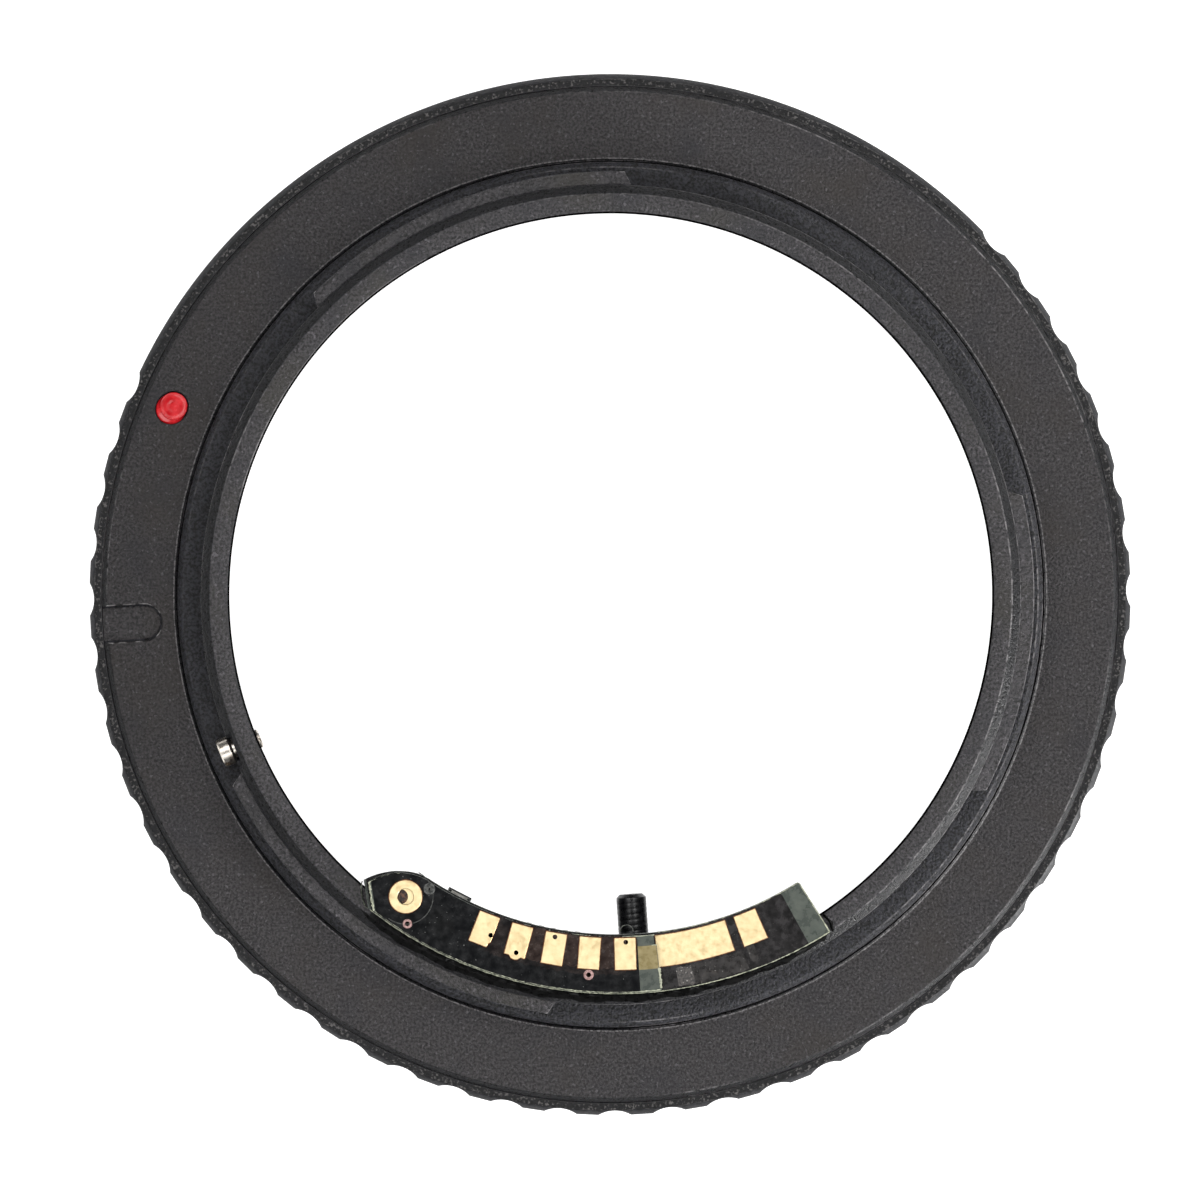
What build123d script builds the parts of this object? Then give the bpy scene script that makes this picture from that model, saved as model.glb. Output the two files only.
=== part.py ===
from build123d import *

import math
import os

# A lens mount adapter for interchangeable-lens cameras, lying as it is seen from the camera's side.
# Millimetres. The camera flange face is z = 0, +Z points into the camera and +Y is the camera's top.
# Angles run anticlockwise from +X, seen from the camera's side.

# Camera bayonet, from the pilot inwards
PILOT_RADIUS = 27.0
PILOT_HEIGHT = 0.9
PILOT_CHAMFER = 0.15
CLAW_INSET = 0.45
CLAW_REACH = 0.85
CLAW_CLEARANCE = 1.0
CLAW_THICKNESS = 1.4
CLAW_END_SLANT = 30.0
CLAW_ARCS = ((87.1, 135.6), (205.7, 262.4), (331.5, 374.6))
BOSS_WALL = 1.1
BOSS_NOSE = 0.6
BOSS_CHAMFER = 0.5
BOSS_CHAMFER_DROP = 0.4
LIP_OVERHANG = 0.7
LIP_THICKNESS = 0.8
LIP_EDGE_BREAK = 0.06

# Camera flange, from the pilot outwards
RELIEF_WIDTH = 0.46
RELIEF_DEPTH = 0.45
RELIEF_FLANK = 0.2
FLANGE_FACE_WIDTH = 4.57
FLANGE_THICKNESS = 1.8
FLANGE_CHAMFER = 0.3
LOCK_SLOT_ANGLE = 183.4
LOCK_SLOT_WIDTH = 2.3
LOCK_SLOT_LENGTH = 3.73
LOCK_SLOT_DEPTH = 0.55
SPIGOT_WALL = 0.9
SPIGOT_DEPTH = 0.8

# Index dots: drops of enamel in drilled pits
DOT_RADIUS = 1.0
DOT_THICKNESS = 0.45
DOT_CROWN = 0.14
DOT_SINK = 0.05
DOT_EDGE_INSET = 2.01
CAMERA_DOT_ANGLE = 156.9
LENS_DOT_ANGLE = 90.0

# Stop screw, radial through the boss wall beside a claw
STOP_ANGLE = 202.2
STOP_HEAD_RADIUS = 0.9
STOP_HEAD_HEIGHT = 0.85
STOP_SHANK_RADIUS = 0.6
STOP_TIP_PROUD = 0.16
STOP_SEAT_DEPTH = 0.1
STOP_SLOT_WIDTH = 0.3
STOP_SLOT_DEPTH = 0.35
STOP_SLOT_TURN = 125.0

# Turning aperture ring between the two mounts
RING_SPACE = 4.2
RIM_GAP = 0.08
RIM_LIP = 0.74
RIM_STEP = 0.4
RIM_CHAMFER = 0.33
FLUTE_COUNT = 42
FLUTE_PITCH = 6.0
FLUTE_FIRST_ANGLE = 156.5
FLUTE_RADIUS = 2.0
FLUTE_DEPTH = 0.3

# Lever stud, screwed into the ring, which pushes the lens's diaphragm lever
LEVER_ANGLE = 274.0
LEVER_TRAVEL = 38.0
LEVER_RADIUS = 0.95
LEVER_TIP_REACH = 4.86
LEVER_TIP_CHAMFER = 0.22
LEVER_SINK = 1.1
LEVER_SLOT_WIDTH = 0.35
LEVER_SLOT_DEPTH = 0.5

# Lens side: front plate and breech boss with three outward lugs
PLATE_THICKNESS = 1.5
PLATE_CHAMFER = 0.3
BREECH_WALL = 1.4
BREECH_HEIGHT = 3.5
BREECH_CHAMFER = 0.15
LUG_REACH = 1.4
LUG_THICKNESS = 1.6
LUG_SPAN = 62.0
LUG_CENTRES = (30.0, 150.0, 270.0)
LUG_END_SLANT = 25.0
NOTCH_ANGLE = 90.0
NOTCH_WIDTH = 2.2
NOTCH_DEPTH = 1.6

# Countersunk assembly screws, in the gaps between the lugs
SCREW_SHANK_RADIUS = 0.85
SCREW_HEAD_RADIUS = 1.35
SCREW_HEAD_MARGIN = 0.15
SCREW_HEAD_SINK = 0.05
SCREW_BITE = 1.35
SCREW_PAIR_HALF_ANGLE = 10.5
SCREW_CROSS_LENGTH = 1.5
SCREW_CROSS_WIDTH = 0.35
SCREW_CROSS_DEPTH = 0.5
HUB_RIM = 0.7

# Contact chip on the boss: two stacked circuit boards, glued on a little off the axis.
# Its radii and angles are about the chip's own centre.
CHIP_SHIFT_X = 0.30
CHIP_SHIFT_Y = 0.14
CHIP_EDGE_INSET = 0.1
CHIP_WIDTH = 3.73
CHIP_CORNER_ANGLE = 231.9
CHIP_NOSE_ANGLE = 228.7
CHIP_NOSE_RISE = 2.45
CHIP_SHOULDER_ANGLE = 231.0
CHIP_SHOULDER_RISE = 0.98
CHIP_SHOULDER_END_ANGLE = 235.0
CHIP_END_ANGLE = 302.36
ADHESIVE_THICKNESS = 0.08
ADHESIVE_ARC = (233.0, 302.8)
BASE_BOARD_THICKNESS = 0.8
UPPER_BOARD_THICKNESS = 0.6
UPPER_BOARD_INSET = 0.1
UPPER_BOARD_NOSE_INSET = 0.3
UPPER_BOARD_END_ANGLE = 276.59
PAD_THICKNESS = 0.05
PAD_EDGE_INSET = 0.2
PAD_LENGTH = 1.98
PAD_WIDTH = 1.32
UPPER_PAD_ANGLES = (248.61, 254.35, 260.10, 265.76, 271.47)
LOWER_PAD_ARCS = ((276.94, 288.36), (289.96, 293.75))
RING_PAD_RADIUS = 1.06
RING_PAD_HOLE_RADIUS = 0.51
RING_PAD_ANGLE = 235.3
RING_PAD_INSET = 0.155
IC_ARC = (254.0, 265.0)
IC_THICKNESS = 0.75
IC_EDGE_INSET = 0.15
IC_LIP_GAP = 0.35
CAPACITOR_ANGLE = 242.65
CAPACITOR_LENGTH = 1.6
CAPACITOR_WIDTH = 0.8
CAPACITOR_HEIGHT = 0.6
CAPACITOR_PROUD = 0.22

# Fits
RUNNING_CLEARANCE = 0.05
AXIAL_CLEARANCE = 0.06
THREAD_CLEARANCE = 0.02
SPIGOT_CLEARANCE = 0.03
LEVER_WINDOW_CLEARANCE = 0.18
PIT_CLEARANCE = 0.06

# Radii worked out from the pilot
CLAW_RADIUS = PILOT_RADIUS - CLAW_INSET
BOSS_RADIUS = CLAW_RADIUS - CLAW_REACH
BOSS_FACE_RADIUS = BOSS_RADIUS - BOSS_CHAMFER
THROAT_RADIUS = BOSS_RADIUS - BOSS_WALL
LIP_RADIUS = THROAT_RADIUS - LIP_OVERHANG
RELIEF_RADIUS = PILOT_RADIUS + RELIEF_WIDTH
FLANGE_RADIUS = RELIEF_RADIUS + FLANGE_FACE_WIDTH
SPIGOT_RADIUS = THROAT_RADIUS + SPIGOT_WALL
RECESS_RADIUS = FLANGE_RADIUS + RIM_GAP
RIM_RADIUS = RECESS_RADIUS + RIM_LIP
BREECH_RADIUS = THROAT_RADIUS + BREECH_WALL
LUG_RADIUS = BREECH_RADIUS + LUG_REACH
SCREW_CIRCLE_RADIUS = BREECH_RADIUS + SCREW_HEAD_RADIUS + SCREW_HEAD_MARGIN
HUB_RADIUS = SCREW_CIRCLE_RADIUS + SCREW_SHANK_RADIUS + HUB_RIM
LEVER_TIP_RADIUS = LIP_RADIUS - LEVER_TIP_REACH
LEVER_END_RADIUS = RIM_RADIUS - LEVER_SINK
DOT_CIRCLE_RADIUS = FLANGE_RADIUS - DOT_EDGE_INSET
CHIP_OUTER_RADIUS = BOSS_FACE_RADIUS - CHIP_EDGE_INSET
CHIP_INNER_RADIUS = CHIP_OUTER_RADIUS - CHIP_WIDTH
RING_PAD_CIRCLE_RADIUS = (CHIP_OUTER_RADIUS + CHIP_INNER_RADIUS) / 2 - RING_PAD_INSET

# Levels worked out from the flange face
CLAW_BOTTOM = PILOT_HEIGHT + CLAW_CLEARANCE
CLAW_TOP = CLAW_BOTTOM + CLAW_THICKNESS
BOSS_TOP = CLAW_TOP + BOSS_NOSE
STOP_LEVEL = (PILOT_HEIGHT + CLAW_TOP) / 2
PLATE_TOP = -FLANGE_THICKNESS - RING_SPACE
PLATE_FRONT = PLATE_TOP - PLATE_THICKNESS
BREECH_FRONT = PLATE_FRONT - BREECH_HEIGHT
SCREW_HEAD_FACE = PLATE_FRONT + SCREW_HEAD_SINK
LEVER_LEVEL = -FLANGE_THICKNESS - RING_SPACE / 2
BASE_BOARD_BOTTOM = BOSS_TOP + ADHESIVE_THICKNESS
BASE_BOARD_TOP = BASE_BOARD_BOTTOM + BASE_BOARD_THICKNESS
UPPER_BOARD_TOP = BASE_BOARD_TOP + UPPER_BOARD_THICKNESS

LUG_GAP_CENTRES = [centre + 60.0 for centre in LUG_CENTRES]
SCREW_ANGLES = [
    gap + side * SCREW_PAIR_HALF_ANGLE for gap in LUG_GAP_CENTRES for side in (-1, 1)
]


def polar(radius, angle):
    """Point in plan at a radius and an angle in degrees."""
    return (radius * math.cos(math.radians(angle)), radius * math.sin(math.radians(angle)))


def turned(points):
    """Solid turned about Z from a closed outline of (radius, z) points."""
    outline = Polyline([(radius, 0, z) for radius, z in points], close=True)
    return revolve(make_face(outline), Axis.Z)


def sector(inner, outer, start, end, slant=0.0):
    """Flat ring sector about Z, whose ends lean towards each other outwards by the slant."""
    lean = math.degrees((outer - inner) * math.tan(math.radians(slant)) / outer)
    first = start + lean
    last = end - lean
    outline = [
        CenterArc((0, 0), outer, first, last - first),
        Line(polar(outer, last), polar(inner, end)),
        CenterArc((0, 0), inner, start, end - start),
        Line(polar(inner, start), polar(outer, first)),
    ]
    return make_face(outline)


def raised(face, bottom, top):
    """Plan face extruded between two levels."""
    return Pos(0, 0, bottom) * extrude(face, top - bottom)


def upright(radius, bottom, top):
    """Cylinder on the Z direction between two levels."""
    return Pos(0, 0, bottom) * Cylinder(radius, top - bottom, align=(Align.CENTER, Align.CENTER, Align.MIN))


def radial(angle, level, solid):
    """Puts a solid, modelled with +Z pointing outwards, on the radius at an angle and level."""
    return Rot(0, 0, angle) * Pos(0, 0, level) * Rot(0, 90, 0) * solid


def at_polar(radius, angle, solid):
    """Puts a solid, modelled about Z, at a radius and an angle."""
    return Rot(0, 0, angle) * Pos(radius, 0, 0) * solid


def dot_pit(face_level):
    """Drilled pit for an index dot, open at a face."""
    depth = DOT_SINK + DOT_THICKNESS
    pit = upright(DOT_RADIUS + PIT_CLEARANCE, -depth, depth)
    return Pos(0, 0, face_level) * pit


def index_dot(face_level, outward):
    """Drop of enamel with a crowned top, lying in its pit just under the face."""
    crown_radius = (DOT_RADIUS**2 + DOT_CROWN**2) / (2 * DOT_CROWN)
    body = upright(DOT_RADIUS, -DOT_SINK - DOT_THICKNESS, -DOT_SINK)
    ball = Pos(0, 0, -DOT_SINK - crown_radius) * Sphere(crown_radius)
    dot = body & ball
    if outward < 0:
        dot = Rot(180, 0, 0) * dot
    return Pos(0, 0, face_level) * dot


def camera_mount():
    """Rear piece: flange, pilot and boss turned in one, with milled claws and a lock-pin slot."""
    body = turned([
        (THROAT_RADIUS, -FLANGE_THICKNESS - SPIGOT_DEPTH),
        (SPIGOT_RADIUS, -FLANGE_THICKNESS - SPIGOT_DEPTH),
        (SPIGOT_RADIUS, -FLANGE_THICKNESS),
        (FLANGE_RADIUS, -FLANGE_THICKNESS),
        (FLANGE_RADIUS, -FLANGE_CHAMFER),
        (FLANGE_RADIUS - FLANGE_CHAMFER, 0),
        (RELIEF_RADIUS, 0),
        (RELIEF_RADIUS - RELIEF_FLANK, -RELIEF_DEPTH),
        (PILOT_RADIUS + RELIEF_FLANK, -RELIEF_DEPTH),
        (PILOT_RADIUS, 0),
        (PILOT_RADIUS, PILOT_HEIGHT - PILOT_CHAMFER),
        (PILOT_RADIUS - PILOT_CHAMFER, PILOT_HEIGHT),
        (BOSS_RADIUS, PILOT_HEIGHT),
        (BOSS_RADIUS, BOSS_TOP - BOSS_CHAMFER_DROP),
        (BOSS_FACE_RADIUS, BOSS_TOP),
        (LIP_RADIUS + LIP_EDGE_BREAK, BOSS_TOP),
        (LIP_RADIUS, BOSS_TOP - LIP_EDGE_BREAK),
        (LIP_RADIUS, BOSS_TOP - LIP_THICKNESS),
        (THROAT_RADIUS, BOSS_TOP - LIP_THICKNESS - LIP_OVERHANG),
    ])
    for start, end in CLAW_ARCS:
        claw = sector(BOSS_RADIUS - BOSS_WALL / 2, CLAW_RADIUS, start, end)
        ends = sector(BOSS_RADIUS, CLAW_RADIUS, start, end, CLAW_END_SLANT)
        root = sector(BOSS_RADIUS - BOSS_WALL / 2, BOSS_RADIUS, start, end)
        body += raised((claw & ends) + root, CLAW_BOTTOM, CLAW_TOP)
    slot_end = FLANGE_RADIUS - LOCK_SLOT_LENGTH + LOCK_SLOT_WIDTH / 2
    slot = Pos(slot_end, 0) * Circle(LOCK_SLOT_WIDTH / 2)
    slot += Pos(slot_end + LOCK_SLOT_LENGTH / 2, 0) * Rectangle(LOCK_SLOT_LENGTH, LOCK_SLOT_WIDTH)
    body -= Rot(0, 0, LOCK_SLOT_ANGLE) * raised(slot, -LOCK_SLOT_DEPTH, LOCK_SLOT_DEPTH)
    body -= at_polar(DOT_CIRCLE_RADIUS, CAMERA_DOT_ANGLE, dot_pit(0))
    body -= radial(STOP_ANGLE, STOP_LEVEL, stop_screw_hole())
    tapped_top = -FLANGE_THICKNESS + SCREW_BITE + THREAD_CLEARANCE
    tapped = upright(SCREW_SHANK_RADIUS + THREAD_CLEARANCE, -FLANGE_THICKNESS - SPIGOT_DEPTH, tapped_top)
    for angle in SCREW_ANGLES:
        body -= at_polar(SCREW_CIRCLE_RADIUS, angle, tapped)
    return body


def stop_screw_hole():
    """Tapped hole through the boss wall with a shallow flat seat for the stop screw's head."""
    hole = upright(STOP_SHANK_RADIUS + THREAD_CLEARANCE, LIP_RADIUS - LIP_OVERHANG, CLAW_RADIUS)
    seat = upright(STOP_HEAD_RADIUS + PIT_CLEARANCE, BOSS_RADIUS - STOP_SEAT_DEPTH, CLAW_RADIUS + CLAW_INSET)
    return hole + seat


def stop_screw():
    """Slotted cheese-head screw that ends the camera's turn, with its tip just through the lip."""
    seat = BOSS_RADIUS - STOP_SEAT_DEPTH
    head_top = seat + STOP_HEAD_HEIGHT
    screw = upright(STOP_HEAD_RADIUS, seat, head_top)
    screw += upright(STOP_SHANK_RADIUS, LIP_RADIUS - STOP_TIP_PROUD, seat)
    slot = Box(3 * STOP_HEAD_RADIUS, STOP_SLOT_WIDTH, 2 * STOP_SLOT_DEPTH)
    screw -= Pos(0, 0, head_top) * Rot(0, 0, STOP_SLOT_TURN) * slot
    return radial(STOP_ANGLE, STOP_LEVEL, screw)


def lens_mount():
    """Front piece: hub that the ring turns on, front plate and breech boss with outward lugs."""
    socket = SPIGOT_RADIUS + SPIGOT_CLEARANCE
    socket_floor = -FLANGE_THICKNESS - SPIGOT_DEPTH - AXIAL_CLEARANCE
    body = turned([
        (THROAT_RADIUS, BREECH_FRONT),
        (BREECH_RADIUS - BREECH_CHAMFER, BREECH_FRONT),
        (BREECH_RADIUS, BREECH_FRONT + BREECH_CHAMFER),
        (BREECH_RADIUS, PLATE_FRONT),
        (FLANGE_RADIUS - PLATE_CHAMFER, PLATE_FRONT),
        (FLANGE_RADIUS, PLATE_FRONT + PLATE_CHAMFER),
        (FLANGE_RADIUS, PLATE_TOP),
        (HUB_RADIUS, PLATE_TOP),
        (HUB_RADIUS, -FLANGE_THICKNESS),
        (socket, -FLANGE_THICKNESS),
        (socket, socket_floor),
        (THROAT_RADIUS, socket_floor),
    ])
    for centre in LUG_CENTRES:
        start = centre - LUG_SPAN / 2
        end = centre + LUG_SPAN / 2
        lug = sector(BREECH_RADIUS, LUG_RADIUS, start, end, LUG_END_SLANT)
        lug += sector(BREECH_RADIUS - BREECH_WALL / 2, BREECH_RADIUS, start, end)
        body += raised(lug, BREECH_FRONT, BREECH_FRONT + LUG_THICKNESS)
    notch = Pos(BREECH_RADIUS, 0, BREECH_FRONT) * Box(3 * BREECH_WALL, NOTCH_WIDTH, 2 * NOTCH_DEPTH)
    body -= Rot(0, 0, NOTCH_ANGLE) * notch
    body -= at_polar(DOT_CIRCLE_RADIUS, LENS_DOT_ANGLE, dot_pit(PLATE_FRONT))
    body -= lever_window()
    for angle in SCREW_ANGLES:
        body -= at_polar(SCREW_CIRCLE_RADIUS, angle, assembly_screw_hole())
    return body


def lever_window():
    """Slot round part of the hub, with round ends, in which the lever stud travels."""
    half_height = LEVER_RADIUS + LEVER_WINDOW_CLEARANCE
    inner = THROAT_RADIUS - BREECH_WALL
    outer = HUB_RADIUS + BREECH_WALL
    run = sector(inner, outer, LEVER_ANGLE, LEVER_ANGLE + LEVER_TRAVEL)
    window = raised(run, LEVER_LEVEL - half_height, LEVER_LEVEL + half_height)
    for angle in (LEVER_ANGLE, LEVER_ANGLE + LEVER_TRAVEL):
        window += radial(angle, LEVER_LEVEL, upright(half_height, inner, outer))
    return window


def assembly_screw_form(growth):
    """Countersunk screw form on its own axis, grown all over for its hole."""
    shank = SCREW_SHANK_RADIUS + growth
    head = SCREW_HEAD_RADIUS + growth
    cone_end = SCREW_HEAD_FACE + SCREW_HEAD_RADIUS - SCREW_SHANK_RADIUS
    tip = -FLANGE_THICKNESS + SCREW_BITE
    return turned([(0, SCREW_HEAD_FACE), (head, SCREW_HEAD_FACE), (shank, cone_end), (shank, tip), (0, tip)])


def assembly_screw_hole():
    """Countersunk clearance hole through the front plate and hub, its mouth open to the plate's face."""
    mouth = upright(SCREW_HEAD_RADIUS + THREAD_CLEARANCE, PLATE_FRONT - SCREW_HEAD_SINK, SCREW_HEAD_FACE)
    return assembly_screw_form(THREAD_CLEARANCE) + mouth


def assembly_screws():
    """Six countersunk screws that hold the two mounts together, entered from the lens side."""
    screw = assembly_screw_form(0.0)
    arm = Box(SCREW_CROSS_LENGTH, SCREW_CROSS_WIDTH, 2 * SCREW_CROSS_DEPTH)
    cross = arm + Rot(0, 0, 90) * arm
    screw -= Pos(0, 0, SCREW_HEAD_FACE) * cross
    return Compound([at_polar(SCREW_CIRCLE_RADIUS, angle, screw) for angle in SCREW_ANGLES])


def aperture_ring():
    """Turning ring with a fluted grip, whose lips stand round the edges of both mounts."""
    bore = HUB_RADIUS + RUNNING_CLEARANCE
    web_top = -FLANGE_THICKNESS - AXIAL_CLEARANCE
    web_bottom = PLATE_TOP + AXIAL_CLEARANCE
    lip_bottom = PLATE_FRONT + RIM_STEP
    ring = turned([
        (bore, web_bottom),
        (RECESS_RADIUS, web_bottom),
        (RECESS_RADIUS, lip_bottom),
        (RIM_RADIUS - RIM_CHAMFER, lip_bottom),
        (RIM_RADIUS, lip_bottom + RIM_CHAMFER),
        (RIM_RADIUS, -RIM_STEP - RIM_CHAMFER),
        (RIM_RADIUS - RIM_CHAMFER, -RIM_STEP),
        (RECESS_RADIUS, -RIM_STEP),
        (RECESS_RADIUS, web_top),
        (bore, web_top),
    ])
    flute = upright(FLUTE_RADIUS, lip_bottom - RIM_STEP, 0)
    flute_circle = RIM_RADIUS - FLUTE_DEPTH + FLUTE_RADIUS
    angles = [FLUTE_FIRST_ANGLE + k * FLUTE_PITCH for k in range(FLUTE_COUNT)]
    ring -= [at_polar(flute_circle, angle, flute) for angle in angles]
    tapped = upright(LEVER_RADIUS + THREAD_CLEARANCE, HUB_RADIUS - HUB_RIM, RIM_RADIUS + RIM_LIP)
    ring -= radial(LEVER_ANGLE, LEVER_LEVEL, tapped)
    return ring


def lever_stud():
    """Headless slotted screw through the ring, standing into the throat."""
    stud = upright(LEVER_RADIUS, LEVER_TIP_RADIUS, LEVER_END_RADIUS)
    stud = chamfer(stud.edges().group_by(Axis.Z)[0], LEVER_TIP_CHAMFER)
    slot = Box(LEVER_SLOT_WIDTH, 3 * LEVER_RADIUS, 2 * LEVER_SLOT_DEPTH)
    stud -= Pos(0, 0, LEVER_END_RADIUS) * slot
    return radial(LEVER_ANGLE, LEVER_LEVEL, stud)


def board_outline(inset, nose_inset, end_angle):
    """Crescent board with a blunt nose at its left end and a straight radial right end."""
    outer = CHIP_OUTER_RADIUS - inset
    inner = CHIP_INNER_RADIUS + inset
    turn = math.degrees(nose_inset / outer)
    corner = CHIP_CORNER_ANGLE + turn
    shoulder_end = CHIP_SHOULDER_END_ANGLE + turn
    nose = polar(inner + CHIP_NOSE_RISE, CHIP_NOSE_ANGLE + turn)
    outline = [
        CenterArc((0, 0), outer, corner, end_angle - corner),
        Line(polar(outer, end_angle), polar(inner, end_angle)),
        CenterArc((0, 0), inner, shoulder_end, end_angle - shoulder_end),
        ThreePointArc(
            polar(inner, shoulder_end),
            polar(inner + CHIP_SHOULDER_RISE, CHIP_SHOULDER_ANGLE + turn),
            nose,
        ),
        Line(nose, polar(outer, corner)),
    ]
    return make_face(outline)


def ring_pad_hole():
    """Plated hole under the ring pad, through both boards."""
    hole = upright(RING_PAD_HOLE_RADIUS, BASE_BOARD_BOTTOM, UPPER_BOARD_TOP + PAD_THICKNESS)
    return at_polar(RING_PAD_CIRCLE_RADIUS, RING_PAD_ANGLE, hole)


def chip_adhesive():
    """Film of black epoxy between the boss face and the chip, as wide as the face that it sits on."""
    start, end = ADHESIVE_ARC
    film = sector(LIP_RADIUS + LIP_EDGE_BREAK, BOSS_FACE_RADIUS, start, end)
    return raised(film, BOSS_TOP, BASE_BOARD_BOTTOM)


def chip_base_board():
    """Lower circuit board, glued on the boss and standing out over the throat."""
    board = raised(board_outline(0, 0, CHIP_END_ANGLE), BASE_BOARD_BOTTOM, BASE_BOARD_TOP)
    return board - ring_pad_hole()


def chip_upper_board():
    """Upper circuit board, on the left part of the lower one."""
    outline = board_outline(UPPER_BOARD_INSET, UPPER_BOARD_NOSE_INSET, UPPER_BOARD_END_ANGLE)
    return raised(outline, BASE_BOARD_TOP, UPPER_BOARD_TOP) - ring_pad_hole()


def contact_pads():
    """Gold contacts by node name, in order along the chip: five on the upper board, two on the lower."""
    pad_inner = CHIP_INNER_RADIUS + PAD_EDGE_INSET
    square = raised(Rectangle(PAD_LENGTH, PAD_WIDTH), UPPER_BOARD_TOP, UPPER_BOARD_TOP + PAD_THICKNESS)
    solids = [at_polar(pad_inner + PAD_LENGTH / 2, angle, square) for angle in UPPER_PAD_ANGLES]
    for start, end in LOWER_PAD_ARCS:
        pad = sector(pad_inner, pad_inner + PAD_LENGTH, start, end)
        solids.append(raised(pad, BASE_BOARD_TOP, BASE_BOARD_TOP + PAD_THICKNESS))
    return {f"contact_pad_{number}": pad for number, pad in enumerate(solids, start=1)}


def ring_pad():
    """Gold ring round the plated hole at the chip's round end."""
    ring = Circle(RING_PAD_RADIUS) - Circle(RING_PAD_HOLE_RADIUS)
    pad = raised(ring, UPPER_BOARD_TOP, UPPER_BOARD_TOP + PAD_THICKNESS)
    return at_polar(RING_PAD_CIRCLE_RADIUS, RING_PAD_ANGLE, pad)


def controller_ic():
    """Moulded controller under the lower board, inside the throat."""
    start, end = IC_ARC
    outline = sector(CHIP_INNER_RADIUS + IC_EDGE_INSET, LIP_RADIUS - IC_LIP_GAP, start, end)
    return raised(outline, BASE_BOARD_BOTTOM - IC_THICKNESS, BASE_BOARD_BOTTOM)


def chip_capacitor():
    """Small ceramic capacitor under the lower board, peeping past its inner edge."""
    block = Box(CAPACITOR_WIDTH, CAPACITOR_LENGTH, CAPACITOR_HEIGHT, align=(Align.MIN, Align.CENTER, Align.MAX))
    return at_polar(CHIP_INNER_RADIUS - CAPACITOR_PROUD, CAPACITOR_ANGLE, Pos(0, 0, BASE_BOARD_BOTTOM) * block)


def main():
    """Models every piece and writes one file for each."""
    pieces = {
        "camera_mount": camera_mount(),
        "lens_mount": lens_mount(),
        "aperture_ring": aperture_ring(),
        "lever_stud": lever_stud(),
        "stop_screw": stop_screw(),
        "assembly_screws": assembly_screws(),
        "camera_index_dot": at_polar(DOT_CIRCLE_RADIUS, CAMERA_DOT_ANGLE, index_dot(0, 1)),
        "lens_index_dot": at_polar(DOT_CIRCLE_RADIUS, LENS_DOT_ANGLE, index_dot(PLATE_FRONT, -1)),
        "chip_adhesive": chip_adhesive(),
    }
    chip = {
        "chip_base_board": chip_base_board(),
        "chip_upper_board": chip_upper_board(),
        "ring_pad": ring_pad(),
        "controller_ic": controller_ic(),
        "chip_capacitor": chip_capacitor(),
        **contact_pads(),
    }
    for name, piece in chip.items():
        pieces[name] = Pos(CHIP_SHIFT_X, CHIP_SHIFT_Y, 0) * piece
    os.makedirs("parts", exist_ok=True)
    for name, piece in pieces.items():
        export_step(piece, f"parts/{name}.step")


main()
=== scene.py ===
import logging
import math
import random
from dataclasses import dataclass
from enum import Enum, IntEnum
from typing import Callable

import bmesh
import bpy
from mathutils import Matrix, Vector


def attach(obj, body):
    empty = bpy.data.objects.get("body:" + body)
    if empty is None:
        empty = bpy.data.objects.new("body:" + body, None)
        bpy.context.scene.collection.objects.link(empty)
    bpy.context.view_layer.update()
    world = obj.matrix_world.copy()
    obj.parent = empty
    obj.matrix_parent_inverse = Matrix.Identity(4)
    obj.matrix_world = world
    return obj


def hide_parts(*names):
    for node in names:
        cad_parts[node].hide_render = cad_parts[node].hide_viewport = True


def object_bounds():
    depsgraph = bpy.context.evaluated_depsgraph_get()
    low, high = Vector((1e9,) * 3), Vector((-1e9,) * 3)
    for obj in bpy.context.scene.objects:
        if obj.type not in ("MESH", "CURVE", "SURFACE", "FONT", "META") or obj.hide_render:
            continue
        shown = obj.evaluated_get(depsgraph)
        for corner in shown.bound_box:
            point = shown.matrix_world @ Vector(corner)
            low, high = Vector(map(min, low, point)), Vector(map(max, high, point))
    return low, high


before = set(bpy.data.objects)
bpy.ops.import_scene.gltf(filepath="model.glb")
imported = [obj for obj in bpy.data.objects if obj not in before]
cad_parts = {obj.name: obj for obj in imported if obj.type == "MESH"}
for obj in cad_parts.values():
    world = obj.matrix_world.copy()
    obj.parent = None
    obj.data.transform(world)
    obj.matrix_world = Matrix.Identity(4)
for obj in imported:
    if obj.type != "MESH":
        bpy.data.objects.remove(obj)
CAD_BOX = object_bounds()

# A lens mount adapter, dressed in the frame of its solids. Sizes are millimetres and angles are degrees,
# anticlockwise from +X as seen from the camera's side. The camera flange face is z = 0.
MM = 0.001
LOG = logging.getLogger("adapter")
SHARP_ANGLE = 38.0
COAT_ROUGHNESS = 0.08
ROUGHNESS_SWING = 0.08
# Bare metal shows in dashes of this length, gathered in regions of this size
DASH_MM = 0.45
REGION_MM = 14.0
# Wear stronger than this shows all along a corner
FULL_WEAR = 2.3
# How close a point lies to a corner of the section to count as on it
CORNER_REACH = 0.004

Point2 = tuple[float, float]
Point3 = tuple[float, float, float]
Outline = list[Point2]


class Body(Enum):
    """The two bodies that pieces ride on."""

    MOUNT = "mount"
    RING = "ring"


class Slot(Enum):
    """The record's material slots."""

    ANODISED = "black_anodised_aluminium"
    RING = "ring_anodised_aluminium"
    BLACK_STEEL = "blackened_steel"
    BRIGHT_STEEL = "bright_steel"
    ENAMEL = "red_enamel"
    EPOXY = "black_epoxy"
    BOARD = "black_circuit_board"
    GOLD = "contact_gold"
    PACKAGE = "moulded_package"
    CERAMIC = "tan_ceramic"


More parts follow.
